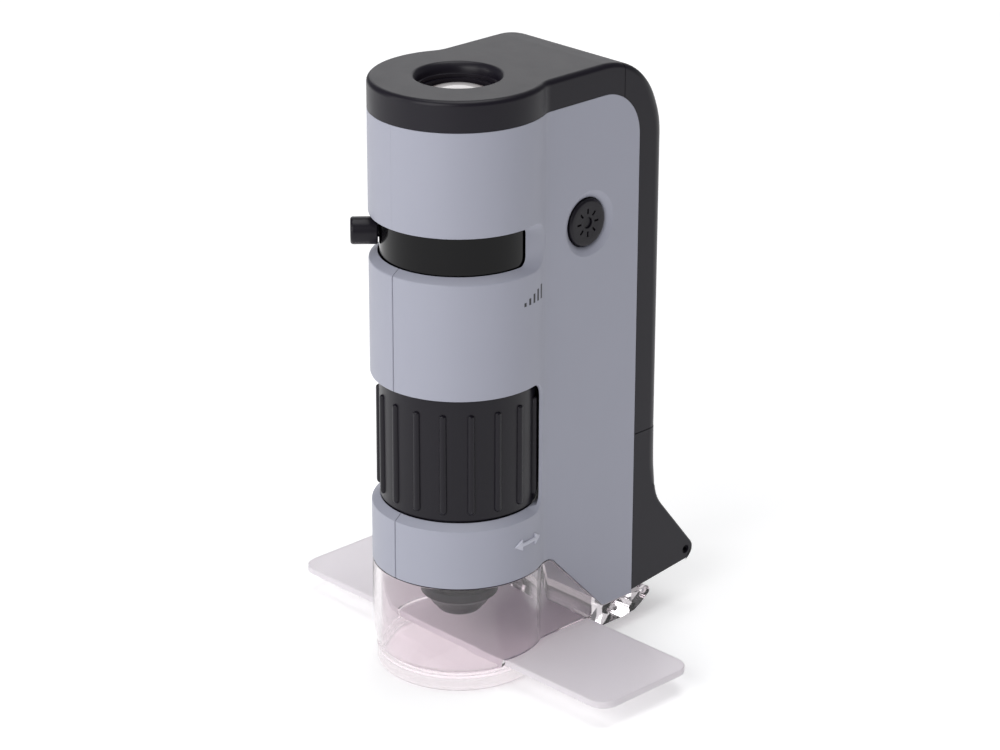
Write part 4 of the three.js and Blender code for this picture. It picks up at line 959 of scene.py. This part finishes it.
def foot_solid():
    rings, round_r, steps = [], 1.0, 6
    for i in range(steps + 1):
        a = pi / 2 * i / steps
        rings.append((keyhole(FOOT_IN + round_r * (1 - sin(a)), FOOT_BACK, 48), round_r * (1 - cos(a))))
    rings += [(keyhole(FOOT_IN, FOOT_BACK, 48), FOOT_Z - 0.35), (keyhole(FOOT_IN + 0.45, FOOT_BACK, 48), FOOT_Z + 0.1)]
    rings += [(keyhole(FOOT_IN + 0.45, FOOT_BACK, 48), FOOT_Z + 0.4)]
    return loft(rings)


def base_side():
    bm, tip = pen(-40, BARREL_BOTTOM - 0.15)
    tip = under_line(bm, tip, -0.15, HINGE_Y - KNUCKLE_R)
    tip = go(bm, tip, (HINGE_Y, HINGE_Z + KNUCKLE_R))
    tip = turn(bm, tip, HINGE_Y, HINGE_Z, -120, 14)
    tip = go(bm, tip, (HINGE_Y - 1.0, WEDGE_Z + 1.15), (HINGE_Y - 2.6, WEDGE_Z + 0.3), (HINGE_Y - 5.6, WEDGE_Z))
    tip = go(bm, tip, (FOOT_BACK, WEDGE_Z), (FOOT_BACK, 0), (-40, 0))
    return close(bm, tip)


# %% Clear base
walls = turned_in_wall(0, FOOT_Z, 26, HINGE_Y + KNUCKLE_R)
rear = block(-HALF, HALF, FOOT_BACK - 2, HINGE_Y + KNUCKLE_R, WEDGE_Z, LEG_BOTTOM + 1)
base = common(join(walls, foot_solid(), rear), across(base_side(), -FAR, FAR))
cavity = join(
    turned_in_wall(BASE_WALL, FLOOR, 26, FOOT_BACK - 1.4), upright(keyhole(BASE_WALL + TURN_IN, FOOT_BACK - 1.4, 48), FLOOR, 24)
)
way_low, way_high = slide_low.y - 0.3, slide_high.y + 0.3
slide_way = block(-FAR, FAR, way_low, way_high, FOOT_Z, slide_high.z + 0.15)
base = carve(base, cavity, slide_way)
for side in (-1, 1):
    base = carve(base, block(side * EAR_X - 1.3, side * EAR_X + 1.3, HINGE_Y - KNUCKLE_R - 0.6, FAR, 0, FAR))
base = carve(base, cross_bar(0.58, -FAR, HALF - 0.8, HINGE_Y, HINGE_Z, 24))
base = rounded(base, 0.14, 2, 60, only=lambda e: e.verts[0].co.y < FOOT_BACK and e.verts[0].co.z > 8)
finish("flip_base_skin", base, CLEAR, "base", ["flip_base"])

# %% [markdown]
# The specimen slide is a milky strip of plastic with round corners. Every long edge is softened, which gives
# it the bright thin outline that such a slide has.

# %% Specimen slide
corner = 3.0
plate, tip = pen(0, slide_low.y)
half_length = (slide_high.x - slide_low.x) / 2
tip = go(plate, tip, (half_length - corner, slide_low.y))
tip = turn(plate, tip, half_length - corner, slide_low.y + corner, 90, 12)
tip = go(plate, tip, (half_length, slide_high.y - corner))
tip = turn(plate, tip, half_length - corner, slide_high.y - corner, 90, 12)
go(plate, tip, (0, slide_high.y))
plate = rounded(upright(both_sides(plate), slide_low.z, slide_high.z), 0.22, 3)
bmesh.ops.translate(plate, verts=plate.verts[:], vec=((slide_low.x + slide_high.x) / 2, 0, 0))
finish("specimen_slide_skin", plate, MILKY, "slide", ["specimen_slide"])

# %% [markdown]
# Two small signs stand in for words and numbers. A raised double arrow below the wheel says that it turns both
# ways, and printed bars that grow in height beside the zoom slot say more and less. Both are drawn flat and
# rolled round the barrel like the cutters, so they lie on its curve.

# %% Signs on the barrel
def rolled_on(bm, middle_angle, level):
    bmesh.ops.translate(bm, verts=bm.verts[:], vec=(radians(middle_angle) * BARREL_R, level, 0))
    return wrapped(bm)


arrow, tip = pen(0, -0.28)
tip = go(arrow, tip, (1.6, -0.28), (1.6, -0.95), (3.2, 0), (1.6, 0.95), (1.6, 0.28))
go(arrow, tip, (0, 0.28))
arrow = rounded(upright(both_sides(arrow), BARREL_R - 0.1, BARREL_R + 0.3), 0.09, 2, only=lambda e: min(v.co.z for v in e.verts) > BARREL_R)
# painted highlight: the raised arrow is the barrel's grey painted lighter, standing in for the highlights that its
# raised edges catch
PAINTED_HIGHLIGHT_SIGN = moulded("sign grey with painted highlight", linear(186, 187, 200), linear(192, 193, 205), 0.42)
finish("turn_sign", rolled_on(arrow, 98, 24.7), PAINTED_HIGHLIGHT_SIGN, "body", [])

INK = moulded("printed ink", linear(34, 33, 38), linear(44, 43, 49), 0.5, depth=0.000001)
bars = bmesh.new()
for i in range(5):
    bar = block(i * 1.15 - 2.55, i * 1.15 - 2.05, -1.2, -0.55 + 0.44 * i, BARREL_R - 0.05, BARREL_R + 0.012)
    holder = bpy.data.meshes.new("bar")
    bar.to_mesh(holder)
    bars.from_mesh(holder)
    bpy.data.meshes.remove(holder)
finish("zoom_sign", rolled_on(bars, 103, 66.5), INK, "body", [])

# %% [markdown]
# The pieces inside keep their solids: nobody sees their edges, but the cell, the lamp and the springs show
# through the base or when the door is open, so each gets the finish of the real thing.

# %% Finishes of the inner pieces
SLEEVE = moulded("cell sleeve", linear(70, 92, 120), linear(78, 100, 128), 0.28, unevenness=0.05, depth=0.000001)
BOARD = moulded("board lacquer", linear(22, 74, 46), linear(30, 88, 56), 0.3, grain=0.0006, depth=0.000006)
LEAD = moulded("lead sheath", linear(60, 58, 60), linear(72, 70, 72), 0.5)
EPOXY = glossy("lamp epoxy", linear(240, 240, 235), 0.08, Transmission_Weight=0.8, IOR=1.5)
inner_finishes = {
    INNER: ["optical_frame", "ocular_barrel", "zoom_carrier", "objective_barrel", "battery_tray", "lamp_socket"],
    STEEL: ["zoom_pin", "focus_pin", "focus_spring", "battery_spring", "battery_contact", "hinge_pin"],
    LENS: ["zoom_lens"], SLEEVE: ["battery_cell"], BOARD: ["circuit_board"], GLOSS: ["tact_switch"],
    LEAD: ["lamp_lead"], EPOXY: ["lamp"],
}
for finish_of, names in inner_finishes.items():
    for name in names:
        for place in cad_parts[name].material_slots:
            place.material = finish_of
print("inner pieces with a finish:", sum(len(names) for names in inner_finishes.values()))

# %% [markdown]
# The view looks down on the microscope from the front right, with a long lens that keeps the uprights nearly
# parallel.

# %% Camera
AZIMUTH, ELEVATION, ROLL = radians(45.814), radians(22.245), radians(0.121)
back = Vector((sin(AZIMUTH) * cos(ELEVATION), -cos(AZIMUTH) * cos(ELEVATION), sin(ELEVATION)))
right = Vector((cos(AZIMUTH), sin(AZIMUTH), 0))
up = back.cross(right)
right, up = cos(ROLL) * right + sin(ROLL) * up, cos(ROLL) * up - sin(ROLL) * right
camera = bpy.data.objects.new("camera", bpy.data.cameras.new("camera"))
camera.data.lens, camera.data.sensor_width = 118.9, 36.0
place = Matrix((right, up, back)).transposed().to_4x4()
place.translation = Vector((0.3548, -0.3357, 0.24975))
camera.matrix_world = place
camera.data.clip_start, camera.data.clip_end = 0.01, 50.0
bpy.context.scene.collection.objects.link(camera)
bpy.context.scene.camera = camera

# %% [markdown]
# The floor is a lit white table, as product photographers use under clear plastic: light from below keeps the
# base bright and takes the shadow away. A broad softbox in front models the barrel, a strip at the left
# draws the long highlight down it, one behind glances over the cap, and one above lights the rest.

# %% Floor and light
floor_mesh = bmesh.new()
bmesh.ops.create_grid(floor_mesh, x_segments=1, y_segments=1, size=4.0)
floor = as_object("floor", floor_mesh)
floor_paint, _, floor_inputs = shader("pale floor", (0.9, 0.9, 0.9, 1), 0.9)
floor_inputs["Emission Color"].default_value = (1, 1, 1, 1)
floor_inputs["Emission Strength"].default_value = 0.3
floor.data.materials.append(floor_paint)


def softbox(name, place, aim, size, watts, colour=(1, 1, 1)):
    lamp = bpy.data.lights.new(name, "AREA")
    lamp.shape, lamp.size, lamp.size_y, lamp.energy, lamp.color = "RECTANGLE", size[0], size[1], watts, colour
    made = bpy.data.objects.new(name, lamp)
    made.location = place
    made.rotation_mode = "QUATERNION"
    made.rotation_quaternion = (Vector(place) - Vector(aim)).to_track_quat("Z", "Y")
    bpy.context.scene.collection.objects.link(made)
    return made


middle = (0, 0.01, 0.05)
softbox("front softbox", (0.16, -0.86, 0.5), middle, (0.7, 0.7), 5.2)
softbox("left strip", (-0.55, -0.72, 0.25), middle, (0.18, 0.9), 1.8)
softbox("rear softbox", (-0.66, 0.66, 0.48), middle, (0.8, 0.6), 1.5)
softbox("top softbox", (0.0, 0.1, 1.1), middle, (0.8, 0.8), 6.0)
world = bpy.data.worlds.new("studio")
world.use_nodes = True
world.node_tree.nodes["Background"].inputs["Color"].default_value = (0.95, 0.96, 1.0, 1)
world.node_tree.nodes["Background"].inputs["Strength"].default_value = 0.2
bpy.context.scene.world = world
bpy.context.scene.view_settings.view_transform = "Standard"
bpy.context.scene.cycles.max_bounces = 20
bpy.context.scene.cycles.transmission_bounces = 20
bpy.context.scene.cycles.transparent_max_bounces = 20
